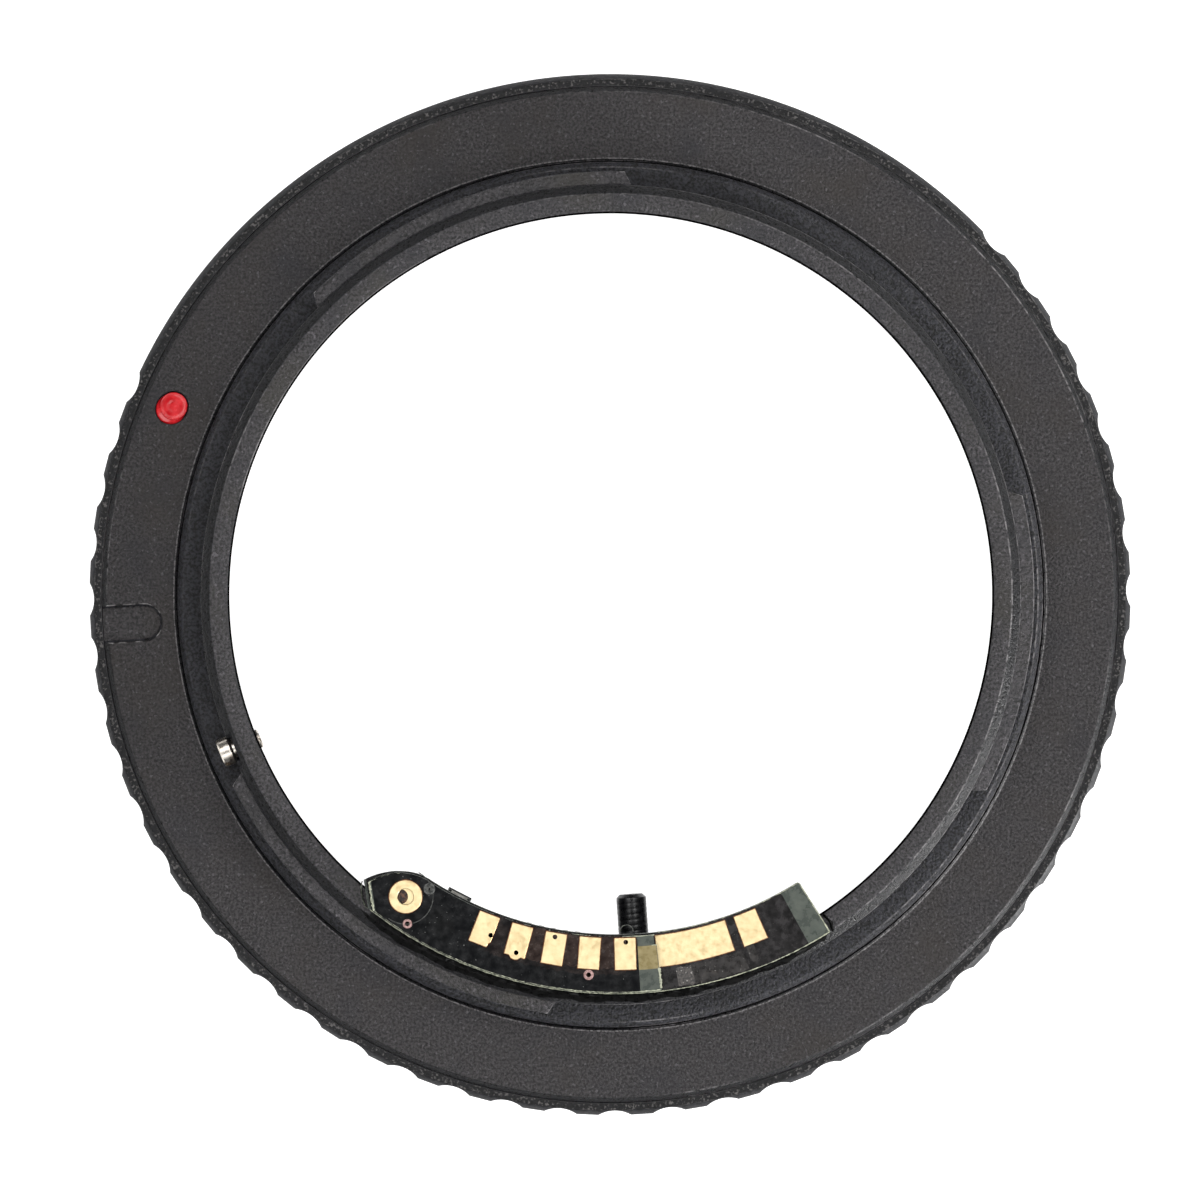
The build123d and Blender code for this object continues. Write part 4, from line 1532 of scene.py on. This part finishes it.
@dataclass
class ContactChip:
    """Two stacked circuit boards with gold contacts, glued on the boss a little off its axis.

    Radii and angles are about the chip's own centre.
    """

    shift: Point2 = (0.30, 0.14)
    outer: float = 25.1
    inner: float = 21.37
    corner_angle: float = 231.9
    nose_angle: float = 228.7
    nose_rise: float = 2.45
    shoulder_angle: float = 231.0
    shoulder_rise: float = 0.98
    shoulder_end: float = 235.0
    end_angle: float = 302.36
    upper_end: float = 276.59
    upper_mask_end: float = 273.5
    lower_mask_end: float = 298.8
    base_low: float = 3.98
    base_top: float = 4.78
    upper_top: float = 5.38
    upper_inset: float = 0.1
    upper_nose_inset: float = 0.3
    mask: float = 0.015
    mask_inset: float = 0.02
    mask_root: float = 0.03
    nose_bare: float = 0.16
    base_nose_lift: float = 0.07
    upper_nose_lift: float = -0.18
    end_corner: float = 0.2
    notch_radius: float = 22.13
    notch_angle: float = 0.36
    edge: float = 0.05
    pad: float = 0.05
    pad_edge: float = 0.015
    pad_inner: float = 21.57
    pad_length: float = 1.98
    pad_width: float = 1.32
    copper_rim: float = 0.03
    upper_pads: tuple[float, ...] = (248.61, 254.35, 260.10, 265.76, 271.47)
    lower_pads: tuple[Point2, ...] = ((276.5, 288.36), (289.96, 293.75))
    ring_pad_radius: float = 23.08
    ring_pad_angle: float = 235.3
    ring_pad_outer: float = 1.03
    ring_pad_hole: float = 0.51
    sleeve_hole: float = 0.48
    sleeve_centre: Point2 = (0.19, -0.27)
    track_radius: float = 1.72
    track_half: float = 0.03
    track_angles: Point2 = (62.0, -128.0)
    pad_vias: tuple[Via, ...] = (
        Via(22.77, 249.91), Via(23.325, 254.50), Via(21.825, 259.95), Via(23.92, 265.90, 0.33),
        Via(21.83, 271.61),
    )
    nose_vias: tuple[Via, ...] = (Via(24.43, 237.77, 0.3), Via(21.86, 237.77, 0.38, 0.05))
    glue_low: float = 3.9
    glue_radii: Point2 = (23.98, 25.18)
    glue_angles: Point2 = (233.0, 302.8)
    # The chamfer film under the chip is glue, and also painted shadow of the chip
    chamfer_film_start: Point2 = (25.13, 3.9)
    chamfer_film_slope: Point2 = (0.57, -0.4)
    chamfer_film_angles: Point2 = (231.5, 303.0)
    chamfer_film_thickness: float = 0.03
    bubble_centre: Point2 = (0.68, -21.19)
    bubble_radius: float = 0.4
    package_radii: Point2 = (21.52, 23.55)
    package_angles: Point2 = (254.0, 265.0)
    package_height: float = 0.75
    package_edge: float = 0.12
    leg_radii: Point2 = (21.46, 23.62)
    leg_angles: Point2 = (255.4, 263.6)
    leg_pitch: float = 2.7
    leg_height: float = 0.34
    capacitor_angle: float = 242.65
    capacitor_out: float = 0.22

    def outline(self, inset: float, nose_inset: float, end: float, lift: float = 0.0) -> Outline:
        """Crescent with a blunt nose at its left end.

        Args:
            inset: how far the curved sides are moved in.
            nose_inset: how far the nose is moved in along the crescent.
            end: angle of the straight end.
            lift: how far outwards the round of the nose is moved.

        Returns:
            The plan outline.
        """
        outer = self.outer - inset
        inner = self.inner + inset
        shift = math.degrees(nose_inset / self.outer)
        points = [polar(outer, angle) for angle in evenly(self.corner_angle + shift, end, 72)]
        turned = math.degrees(self.end_corner / inner)
        points.append(polar(inner + self.end_corner, end))
        points.append(polar(inner + 0.3 * self.end_corner, end - 0.3 * turned))
        points += [polar(inner, angle) for angle in evenly(end - turned, self.shoulder_end + shift, 72)]
        shoulder = len(points) - 1
        first = Vector(polar(inner, self.shoulder_end + shift))
        through = Vector(polar(inner + self.shoulder_rise + lift, self.shoulder_angle + shift))
        last = Vector(polar(inner + self.nose_rise + lift, self.nose_angle + shift))
        pull = 2 * through - (first + last) / 2
        for s in (step / 12 for step in range(1, 13)):
            points.append(tuple(first * (1 - s) ** 2 + pull * 2 * s * (1 - s) + last * s**2))
        for k in list(range(shoulder - 3, shoulder + 5)) * 4:
            points[k] = tuple((Vector(points[k - 1]) + 2 * Vector(points[k]) + Vector(points[k + 1])) / 4)
        return points

    def lower_outline(self, inset: float, end: float) -> Outline:
        """Plan of the lower board, moved in all round, up to an end angle."""
        return self.outline(inset, inset, end, self.base_nose_lift)

    def upper_outline(self, inset: float, nose_inset: float, end: float) -> Outline:
        """Plan of the upper board, moved in at its sides and its nose, up to an end angle."""
        return self.outline(self.upper_inset + inset, self.upper_nose_inset + nose_inset, end,
                            self.upper_nose_lift)

    def settle(self, piece: bpy.types.Object, finish: Finish, slot: Slot, *nodes: str) -> None:
        """Moves a piece from the chip's own centre to its place and dresses it.

        Args:
            piece: the mesh object.
            finish: its finish.
            slot: the record's material slot; not used.
            nodes: nodes that the piece stands for.
        """
        turn(piece, Matrix.Translation((self.shift[0] * MM, self.shift[1] * MM, 0)))
        dress(piece, finish, Body.MOUNT, nodes)

    def ring_place(self) -> Matrix:
        """Matrix that moves a piece to the ring pad's middle."""
        return at_polar(self.ring_pad_radius, self.ring_pad_angle)

    def ring_hole(self, radius: float, low: float, high: float) -> bpy.types.Object:
        """Solid that drills the ring pad's hole."""
        return turn(slab("ring_hole_cutter", circle(radius, 40), low, high), self.ring_place())

    def boards(self) -> None:
        """Glass fibre boards with a drilled hole at the nose."""
        low, middle, top = self.base_low, self.base_top, self.upper_top
        base = plate("chip_lower_board", lambda e: self.lower_outline(e, self.end_angle - e),
                     low, middle, self.edge)
        cut(base, [self.ring_hole(self.ring_pad_hole, low - 1.0, middle + 1.0)])
        self.settle(base, FIBRE, Slot.BOARD, "chip_base_board")
        upper = plate("chip_raised_board", lambda e: self.upper_outline(e, e, self.upper_end - e),
                      middle, top, self.edge)
        notch = sector(self.inner - 0.5, self.notch_radius, self.upper_end - self.notch_angle,
                       self.upper_end + 1.0)
        cut(upper, [self.ring_hole(self.ring_pad_hole, middle - 1.0, top + 1.0),
                    slab("notch_cutter", notch, middle - 0.1, top + 0.1)])
        self.settle(upper, FIBRE, Slot.BOARD, "chip_upper_board")

    def mask_film(self, name: str, board: Outline, top: float, hole: float, finish: Finish) -> None:
        """Solder mask over a board, drilled at the ring pad and drawn back from the nose's straight edge.

        Args:
            name: the film's name.
            board: plan outline, from the nose's corner round to its tip.
            top: height of the board's top.
            hole: radius of the hole.
            finish: the mask's finish.
        """
        tip, corner = Vector(board[-1]), Vector(board[0])
        along = (corner - tip).normalized()
        inward = Vector((-along.y, along.x))
        outline = []
        for point in board:
            away = (Vector(point) - tip).dot(inward)
            outline.append(tuple(Vector(point) + inward * max(0.0, self.nose_bare - away)))
        piece = slab(name, outline, top - self.mask_root, top + self.mask)
        cut(piece, [self.ring_hole(hole, top - 1.0, top + 1.0)])
        self.settle(piece, finish, Slot.BOARD)

    def masks(self) -> None:
        """Solder masks, the bare strip between them, the copper that shows through, and dust."""
        top, base = self.upper_top, self.base_top
        outline = self.upper_outline(self.mask_inset, 0.0, self.upper_mask_end)
        self.mask_film("upper_mask_film", outline, top, self.ring_pad_hole, MASK)
        over = top + self.mask
        strip = (self.upper_mask_end, self.upper_end - 0.1)
        rim = (self.upper_pads[0] + 0.6, self.upper_pads[-1])
        pour = (self.upper_pads[1] + 1.0, self.upper_pads[-1])
        self.patches([
            Patch("bare_strip_over_gold", (self.notch_radius, 23.6), strip, top, 0.004, FIBRE_GOLD),
            Patch("copper_pour_rim_film", (21.45, 23.85), rim, over, 0.002, MASK_TINTED, 60, 0.09, 20),
            Patch("copper_pour_film", (21.5, 23.5), pour, over, 0.004, MASK_COPPER, 50, 0.09, 21),
        ])
        outline = self.outline(self.mask_inset, 0.0, self.lower_mask_end, self.base_nose_lift)
        self.mask_film("lower_mask_film", outline, base, self.ring_pad_hole + 0.02, MASK_RUBBED)
        film, over, above = self.mask, base + 0.01, base + 0.013
        self.patches([
            Patch("dust_patch_film", (23.75, 24.95), (279.2, 289.6), over, film, DUSTY, 32, 0.05, 5),
            Patch("dust_smear_film", (23.2, 24.6), (290.2, 291.6), over, film, DUSTY, 7, 0.08, 8),
            Patch("dust_lint_film", (23.75, 24.92), (279.1, 281.3), above, film, LINT, 8, 0.1, 11),
        ])

    def patches(self, films: list[Patch]) -> None:
        """Builds and dresses films that lie on the boards."""
        for film in films:
            self.settle(film.build(), film.finish, Slot.BOARD)

    def pad_outline(self, number: int, inset: float) -> Outline:
        """Plan of an upper contact about its own middle: +X outwards, with its own notch or bump.

        Args:
            number: the contact's number.
            inset: how far the sides are moved in.

        Returns:
            The plan outline.
        """
        far = self.pad_length / 2 - inset
        half = self.pad_width / 2 - inset
        corners = block(far, half)
        if number == 1:
            corners[2:3] = [(far, half - 0.13), (far - 0.24, half - 0.13), (far - 0.36, half)]
        if number == 2:
            bump = ((0.0, -0.34), (0.17, -0.2), (0.22, 0.04), (0.17, 0.26), (0.0, 0.38))
            corners[2:2] = [(far + out, across) for out, across in bump]
        return rounded(corners, 0.06, 3)

    def wide_outline(self, ends: Point2, inset: float) -> Outline:
        """Plan of a lower contact.

        Args:
            ends: the angles of its ends.
            inset: how far the sides are moved in.

        Returns:
            The plan outline about the chip's centre.
        """
        far = self.pad_inner + self.pad_length
        turned = math.degrees(inset / far)
        return sector(self.pad_inner + inset, far - inset, ends[0] + turned, ends[1] - turned)

    def contact(self, number: int, plan: Callable[[float], Outline], board: float, place: Matrix,
                via: Via | None = None) -> None:
        """One gold contact, with a thin copper edge round it.

        Args:
            number: the contact's number.
            plan: gives its plan outline, moved in by an inset.
            board: height of the board's top.
            place: matrix from the outline's origin to the chip's centre.
            via: the via drilled through it, where there is one.
        """
        high = board + self.pad
        rim = slab(f"copper_edge_{number}", plan(-self.copper_rim), board + self.mask - 0.02,
                   board + self.mask + 0.01)
        piece = skin(f"gold_contact_{number}", [
            level(plan(0.0), board), level(plan(0.0), high - self.pad_edge), level(plan(self.pad_edge), high),
        ])
        for item in (piece, rim):
            turn(item, place)
            if via:
                cut(item, [self.via_cutter(via, high)])
        self.settle(rim, COPPER_EDGE, Slot.GOLD)
        self.settle(piece, GOLD, Slot.GOLD, f"contact_pad_{number}")

    def pads(self) -> None:
        """Gold contacts: five alike on the upper board, and two wide ones on the lower."""
        middle = self.pad_inner + self.pad_length / 2
        for number, (angle, via) in enumerate(zip(self.upper_pads, self.pad_vias), start=1):
            self.contact(number, lambda inset: self.pad_outline(number, inset), self.upper_top,
                         at_polar(middle, angle), None if via.ring else via)
        for number, ends in enumerate(self.lower_pads, start=len(self.upper_pads) + 1):
            self.contact(number, lambda inset: self.wide_outline(ends, inset), self.base_top, spin(0.0))

    def via_cutter(self, via: Via, top: float) -> bpy.types.Object:
        """Solid that drills a via through a contact."""
        drill = slab("via_cutter", circle(via.hole, 20), top - 0.5, top + 0.5)
        return turn(drill, at_polar(via.radius, via.angle))

    def vias(self) -> None:
        """Copper rings and dark bottoms of the vias, and the track that joins the two at the nose."""
        base = self.upper_top + self.mask
        for number, via in enumerate(self.pad_vias + self.nose_vias, start=1):
            bottom = slab(f"via_bottom_{number}", circle(via.hole * 1.1, 20), base - 0.03, base + 0.002)
            turn(bottom, at_polar(via.radius, via.angle))
            self.settle(bottom, HOLE, Slot.BOARD)
            if via.ring:
                collar = [(via.hole, 0.0), (via.ring, 0.0), (via.ring * 0.9, 0.022), (via.ring * 0.7, 0.03),
                          (via.hole * 1.25, 0.03), (via.hole, 0.018)]
                ring = lathe(f"via_ring_{number}", lambda angle: collar, spread(0.0, 360.0, 15.0)[:-1])
                turn(ring, at_polar(via.radius, via.angle, base - 0.004))
                self.settle(ring, VIA if via.hole > 0.1 else TRACK, Slot.BOARD)
        centre = polar(self.ring_pad_radius, self.ring_pad_angle)
        start, end = self.track_angles
        path = bow(self.track_radius + self.track_half, start, end, 6.0, centre)
        path += bow(self.track_radius - self.track_half, end, start, 6.0, centre)
        self.settle(slab("nose_track", path, base - 0.01, base + 0.012), TRACK, Slot.BOARD)

    def ring_pad(self) -> None:
        """Gold ring at the nose, with a second gold ring and the drilled hole seen down inside it."""
        hole, rim = self.ring_pad_hole, self.ring_pad_outer
        low, high = self.upper_top, self.upper_top + self.pad
        washer = [(hole, low), (rim, low), (rim, high - self.pad_edge), (rim - self.pad_edge, high),
                  (hole + 0.02, high), (hole, high - 0.02)]
        collar = [(rim - 0.01, low), (rim + self.copper_rim, low), (rim + self.copper_rim, low + 0.025),
                  (rim - 0.01, low + 0.025)]
        columns = spread(0.0, 360.0, 7.5)[:-1]
        ring = lathe("gold_ring_contact", lambda angle: washer, columns)
        self.settle(turn(ring, self.ring_place()), GOLD, Slot.GOLD, "ring_pad")
        edge = lathe("copper_edge_ring", lambda angle: collar, columns)
        self.settle(turn(edge, self.ring_place()), COPPER_EDGE, Slot.GOLD)
        sleeve = slab("plated_hole_wall", circle(hole, 40), self.base_low + 0.05, low - 0.08)
        bore = circle(self.sleeve_hole, 32, self.sleeve_centre)
        cut(sleeve, [slab("sleeve_cutter", bore, self.base_low - 1.0, high)])
        self.settle(turn(sleeve, self.ring_place()), GOLD, Slot.GOLD)
        floor = slab("plated_hole_floor", circle(hole - 0.01, 32), self.base_low + 0.1, low - 0.3)
        self.settle(turn(floor, self.ring_place()), BURNT, Slot.BOARD)

    def strands(self, ribbons: list[Strand]) -> None:
        """Builds and dresses ribbons along the boards."""
        for ribbon in ribbons:
            self.settle(ribbon.build(), ribbon.finish, Slot.BOARD)

    def edges(self) -> None:
        """Pale sawn edges of both boards, and fibres standing at the raised board's end."""
        base, top = self.base_top, self.upper_top
        around = bow(self.outer - self.upper_inset - 0.05, 232.9, 276.4, 0.35)
        inside = bow(self.inner + self.upper_inset + 0.02, 254.0, 276.4, 0.5)
        below = bow(self.inner + 0.03, 277.0, 302.2, 0.5)
        end = [polar(radius, self.end_angle - 0.12)
               for radius in spread(self.inner + 0.1, self.outer - 0.1, 0.12)]
        step = [polar(radius, self.upper_end - 0.02)
                for radius in spread(self.pad_inner + 2.0, self.outer - 0.25, 0.07)]
        nose = self.upper_outline(0.03, 0.06, self.upper_mask_end)
        tip, corner = Vector(nose[-1]), Vector(nose[0])
        blunt = [tuple(tip.lerp(corner, s)) for s in spread(0.0, 1.0, 0.05)]
        self.strands([
            Strand("lower_sawn_edge", bow(self.outer - 0.04, 232.2, 302.2, 0.3), base + 0.01, 0.09, 0.02, 3),
            Strand("upper_sawn_edge", around[34:], top + 0.006, 0.1, 0.02, 4),
            Strand("upper_sawn_edge_thin", around[:36], top + 0.006, 0.06, 0.02, 5),
            Strand("upper_inner_edge", inside, top + 0.004, 0.07, 0.015, 7),
            Strand("lower_inner_edge", below, base + 0.008, 0.07, 0.015, 8),
            Strand("right_sawn_edge", end, base + 0.002, 0.09, 0.02, 6),
            Strand("step_fibres", step, top, 0.2, 0.03, 9),
            Strand("step_lip_fibres", bow(self.notch_radius, 275.75, 276.6, 0.12), top, 0.08, 0.03, 10),
            Strand("nose_sawn_edge", blunt, top, 0.2, 0.03, 12),
            Strand("nose_round_edge", nose[-8:], top + 0.004, 0.09, 0.02, 13),
        ])

    def run_out_and_shadow(self) -> bpy.types.Object:
        """Film of glue that ran down the boss's chamfer, further in some places than in others; its black
        also paints the chip's shadow on the chamfer.

        Returns:
            The mesh object.
        """
        start, slope = Vector(self.chamfer_film_start), Vector(self.chamfer_film_slope)
        lift = Vector((-slope.y, slope.x)) * self.chamfer_film_thickness
        first, last = self.chamfer_film_angles
        loops = []
        for angle in spread(first, last, 0.5):
            ends = min(1.0, (angle - first + 0.5) / 4.0, (last + 0.5 - angle) / 4.0)
            reach = (0.66 + 0.1 * math.sin(angle * 0.9) + 0.05 * math.sin(angle * 2.3)) * ends
            foot = start + slope * reach
            profile = [start - lift, foot - lift, foot + lift * 0.4, start + lift]
            loops.append([(*polar(point.x, angle), point.y) for point in profile])
        return skin("epoxy_chamfer_film_painted_shadow", loops)

    def glue(self) -> None:
        """Epoxy under the chip, squeezed out along it and down the chamfer, with clear threads at both ends;
        the black bead, run and end blob also paint the chip's shadow on the boss.
        """
        plan = sector(*self.glue_radii, *self.glue_angles, 80)
        film = slab("epoxy_film", plan, self.glue_low, self.base_low)
        dress(film, EPOXY, Body.MOUNT, ("chip_adhesive",))
        # A wide black bead along the outer edge: squeezed-out glue, and painted shadow of the chip on the
        # boss
        bead_and_shadow = bow(self.outer + 0.1, 234.0, 301.5, 0.5)
        self.strands([Strand("epoxy_bead_and_painted_shadow", bead_and_shadow, 4.02, 0.44, 0.12, 14, EPOXY)])
        dress(self.run_out_and_shadow(), EPOXY, Body.MOUNT)
        nose = self.lower_outline(0.0, self.end_angle)
        tip, corner = Vector(nose[-1]), Vector(nose[0])
        out = Vector((corner - tip).yx).normalized() * Vector((1.0, -1.0))
        left = [tuple(tip.lerp(corner, s) + out * 0.28 * math.sin(math.pi * s) ** 0.5)
                for s in spread(0.05, 1.0, 0.06)]
        # The black blob at the right end: glue, and the painted shadow there
        right = [polar(radius, 302.7 + 0.4 * math.sin(math.pi * (radius - 23.9) / 1.3))
                 for radius in spread(23.95, 25.2, 0.16)]
        bubble = bow(self.bubble_radius, 0.0, 180.0, 15.0, self.bubble_centre)
        self.strands([
            Strand("clear_glue_left", left, 4.0, 0.12, 0.1, 15, GLUE),
            Strand("epoxy_end_and_painted_shadow", right, 4.0, 0.24, 0.12, 16, EPOXY),
            Strand("clear_glue_bubble", bubble, 4.2, 0.06, 0.05, 17, GLUE),
        ])

    def controller(self) -> None:
        """Controller under the lower board, with its legs."""
        high = self.base_low
        low = high - self.package_height
        (inner, outer), (start, end) = self.package_radii, self.package_angles
        edge = self.package_edge
        loops = []
        for inset, z in ((0.08, low), (0.0, low + edge), (0.0, high - edge), (0.04, high)):
            turned = 2.5 * inset
            loops.append(level(sector(inner + inset, outer - inset, start + turned, end - turned, 12), z))
        self.settle(skin("controller_package", loops), PACKAGE, Slot.PACKAGE, "controller_ic")
        foot = rounded(block(0.11, 0.17), 0.05)
        for side, radius in zip(("inner", "outer"), self.leg_radii):
            for number, angle in enumerate(spread(*self.leg_angles, self.leg_pitch), start=1):
                leg = slab(f"controller_leg_{side}_{number}", foot, high - self.leg_height, high)
                self.settle(turn(leg, at_polar(radius, angle)), TIN, Slot.PACKAGE)

    def capacitor(self) -> None:
        """Capacitor under the lower board: a ceramic block on a dark foot, with tinned ends."""
        high = self.base_low
        place = at_polar(self.inner - self.capacitor_out, self.capacitor_angle)
        wide = rounded([(0.0, -0.8), (0.8, -0.8), (0.8, 0.8), (0.0, 0.8)], 0.06)
        small = [(0.46 + (x - 0.46) * 0.78, y * 0.93) for x, y in wide]
        body = slab("capacitor_block", small, high - 0.4, high)
        self.settle(turn(body, place), CERAMIC, Slot.CERAMIC, "chip_capacitor")
        levels = [(small, high - 0.6), (wide, high - 0.5), (wide, high - 0.36), (small, high - 0.3)]
        foot = skin("capacitor_foot", [level(outline, z) for outline, z in levels])
        self.settle(turn(foot, place), PACKAGE, Slot.CERAMIC)
        for number, side in enumerate((-1.0, 1.0), start=1):
            near, far = side * 0.55, side * 0.78
            cap = rounded([(0.1, near), (0.82, near), (0.82, far), (0.1, far)], 0.05)
            end = slab(f"capacitor_end_{number}", cap, high - 0.62, high)
            self.settle(turn(end, place), TIN, Slot.CERAMIC)

    def build(self) -> None:
        """Builds the boards, films, contacts, vias, edges, glue and the parts underneath."""
        self.boards()
        self.masks()
        self.pads()
        self.vias()
        self.ring_pad()
        self.edges()
        self.glue()
        self.controller()
        self.capacitor()


@dataclass(frozen=True)
class Softbox:
    """Square soft light aimed at the adapter: its angle round it, lengths in metres and power in watts."""

    name: str
    angle: float
    height: float = 1.0
    away: float = 0.55
    size: float = 0.6
    power: float = 3.7

    def build(self) -> None:
        """Hangs the light."""
        data = bpy.data.lights.new(self.name, "AREA")
        data.shape = "SQUARE"
        data.size = self.size
        data.energy = self.power
        item = bpy.data.objects.new(self.name, data)
        place = Vector((*polar(self.away, self.angle), self.height))
        item.location = place
        item.rotation_mode = "QUATERNION"
        item.rotation_quaternion = place.to_track_quat("Z", "Y")
        bpy.context.scene.collection.objects.link(item)


@dataclass
class Studio:
    """Pale floor, soft light from above and the camera of the photograph."""

    distance: float = 600.0
    pixels: float = 1200.0
    pixels_per_mm: float = 15.87
    centre_pixel: Point2 = (610.4, 594.7)
    lean: Point2 = (-0.45, 0.25)
    sensor: float = 36.0
    floor_gap: float = 0.05
    floor_half: float = 1500.0
    floor_glow: float = 0.8
    surroundings: float = 0.08
    softboxes: tuple[Softbox, ...] = (
        Softbox("softbox_45", 45.0), Softbox("softbox_135", 135.0), Softbox("softbox_225", 225.0),
        Softbox("softbox_315", 315.0), Softbox("softbox_low_right", 326.0, 0.2, 0.9, 0.2, 8.0),
        Softbox("softbox_low_left", 32.0, 0.2, 0.9, 0.2, 1.2),
    )

    def camera(self) -> None:
        """Puts the camera over the adapter."""
        middle = self.pixels / 2
        off_centre = Vector((middle - self.centre_pixel[0], self.centre_pixel[1] - middle, 0.0))
        aim = off_centre / self.pixels_per_mm * MM
        lean_x, lean_y = (math.tan(math.radians(angle)) for angle in self.lean)
        back = Vector((lean_x, lean_y, 1.0)).normalized()
        right = Vector((0, 1, 0)).cross(back).normalized()
        up = back.cross(right)
        data = bpy.data.cameras.new("camera")
        data.sensor_width = self.sensor
        data.lens = self.sensor * self.distance / (self.pixels / self.pixels_per_mm)
        data.clip_start = 0.01
        data.clip_end = 10.0
        item = bpy.data.objects.new("camera", data)
        turned = Matrix((right, up, back)).transposed().to_4x4()
        item.matrix_world = Matrix.Translation(aim + back * self.distance * MM) @ turned
        bpy.context.scene.collection.objects.link(item)
        bpy.context.scene.camera = item

    def floor(self) -> None:
        """Lays the floor under the adapter."""
        low = CAD_BOX[0].z / MM - self.floor_gap
        corners = level(block(self.floor_half, self.floor_half), low)
        mesh = bpy.data.meshes.new("floor")
        mesh.from_pydata([tuple(MM * c for c in corner) for corner in corners], [], [[0, 1, 2, 3]])
        item = bpy.data.objects.new("floor", mesh)
        bpy.context.scene.collection.objects.link(item)
        paper = bpy.data.materials.new("white_paper_lit_from_below")
        paper.use_nodes = True
        shader = paper.node_tree.nodes["Principled BSDF"]
        shader.inputs["Base Color"].default_value = linear("f0f0f0")
        shader.inputs["Roughness"].default_value = 0.9
        shader.inputs["Emission Color"].default_value = linear("ffffff")
        shader.inputs["Emission Strength"].default_value = self.floor_glow
        item.data.materials.append(paper)

    def world(self) -> None:
        """Dim even surroundings, so that slopes fall off dark against the faces that look up."""
        world = bpy.data.worlds.new("studio")
        world.use_nodes = True
        shade = world.node_tree.nodes["Background"]
        shade.inputs["Color"].default_value = linear("ffffff")
        shade.inputs["Strength"].default_value = self.surroundings
        bpy.context.scene.world = world

    def build(self) -> None:
        """Sets up the whole studio."""
        self.camera()
        self.floor()
        self.world()
        for softbox in self.softboxes:
            softbox.build()
        bpy.context.scene.view_settings.view_transform = "Standard"


def main() -> None:
    """Builds every sub-assembly in order."""
    logging.basicConfig(level=logging.INFO, format="%(name)s: %(message)s")
    screws = AssemblyScrews()
    CameraMount().build()
    ApertureRing().build()
    LensMount().build(screws)
    screws.build()
    LeverStud().build()
    StopScrew().build()
    IndexDot("camera_dot_enamel", "camera_index_dot", 156.9, 0.0, 1.0).build()
    IndexDot("lens_dot_enamel", "lens_index_dot", 90.0, -7.5, -1.0).build()
    ContactChip().build()
    Studio().build()


if __name__ == "__main__":
    main()
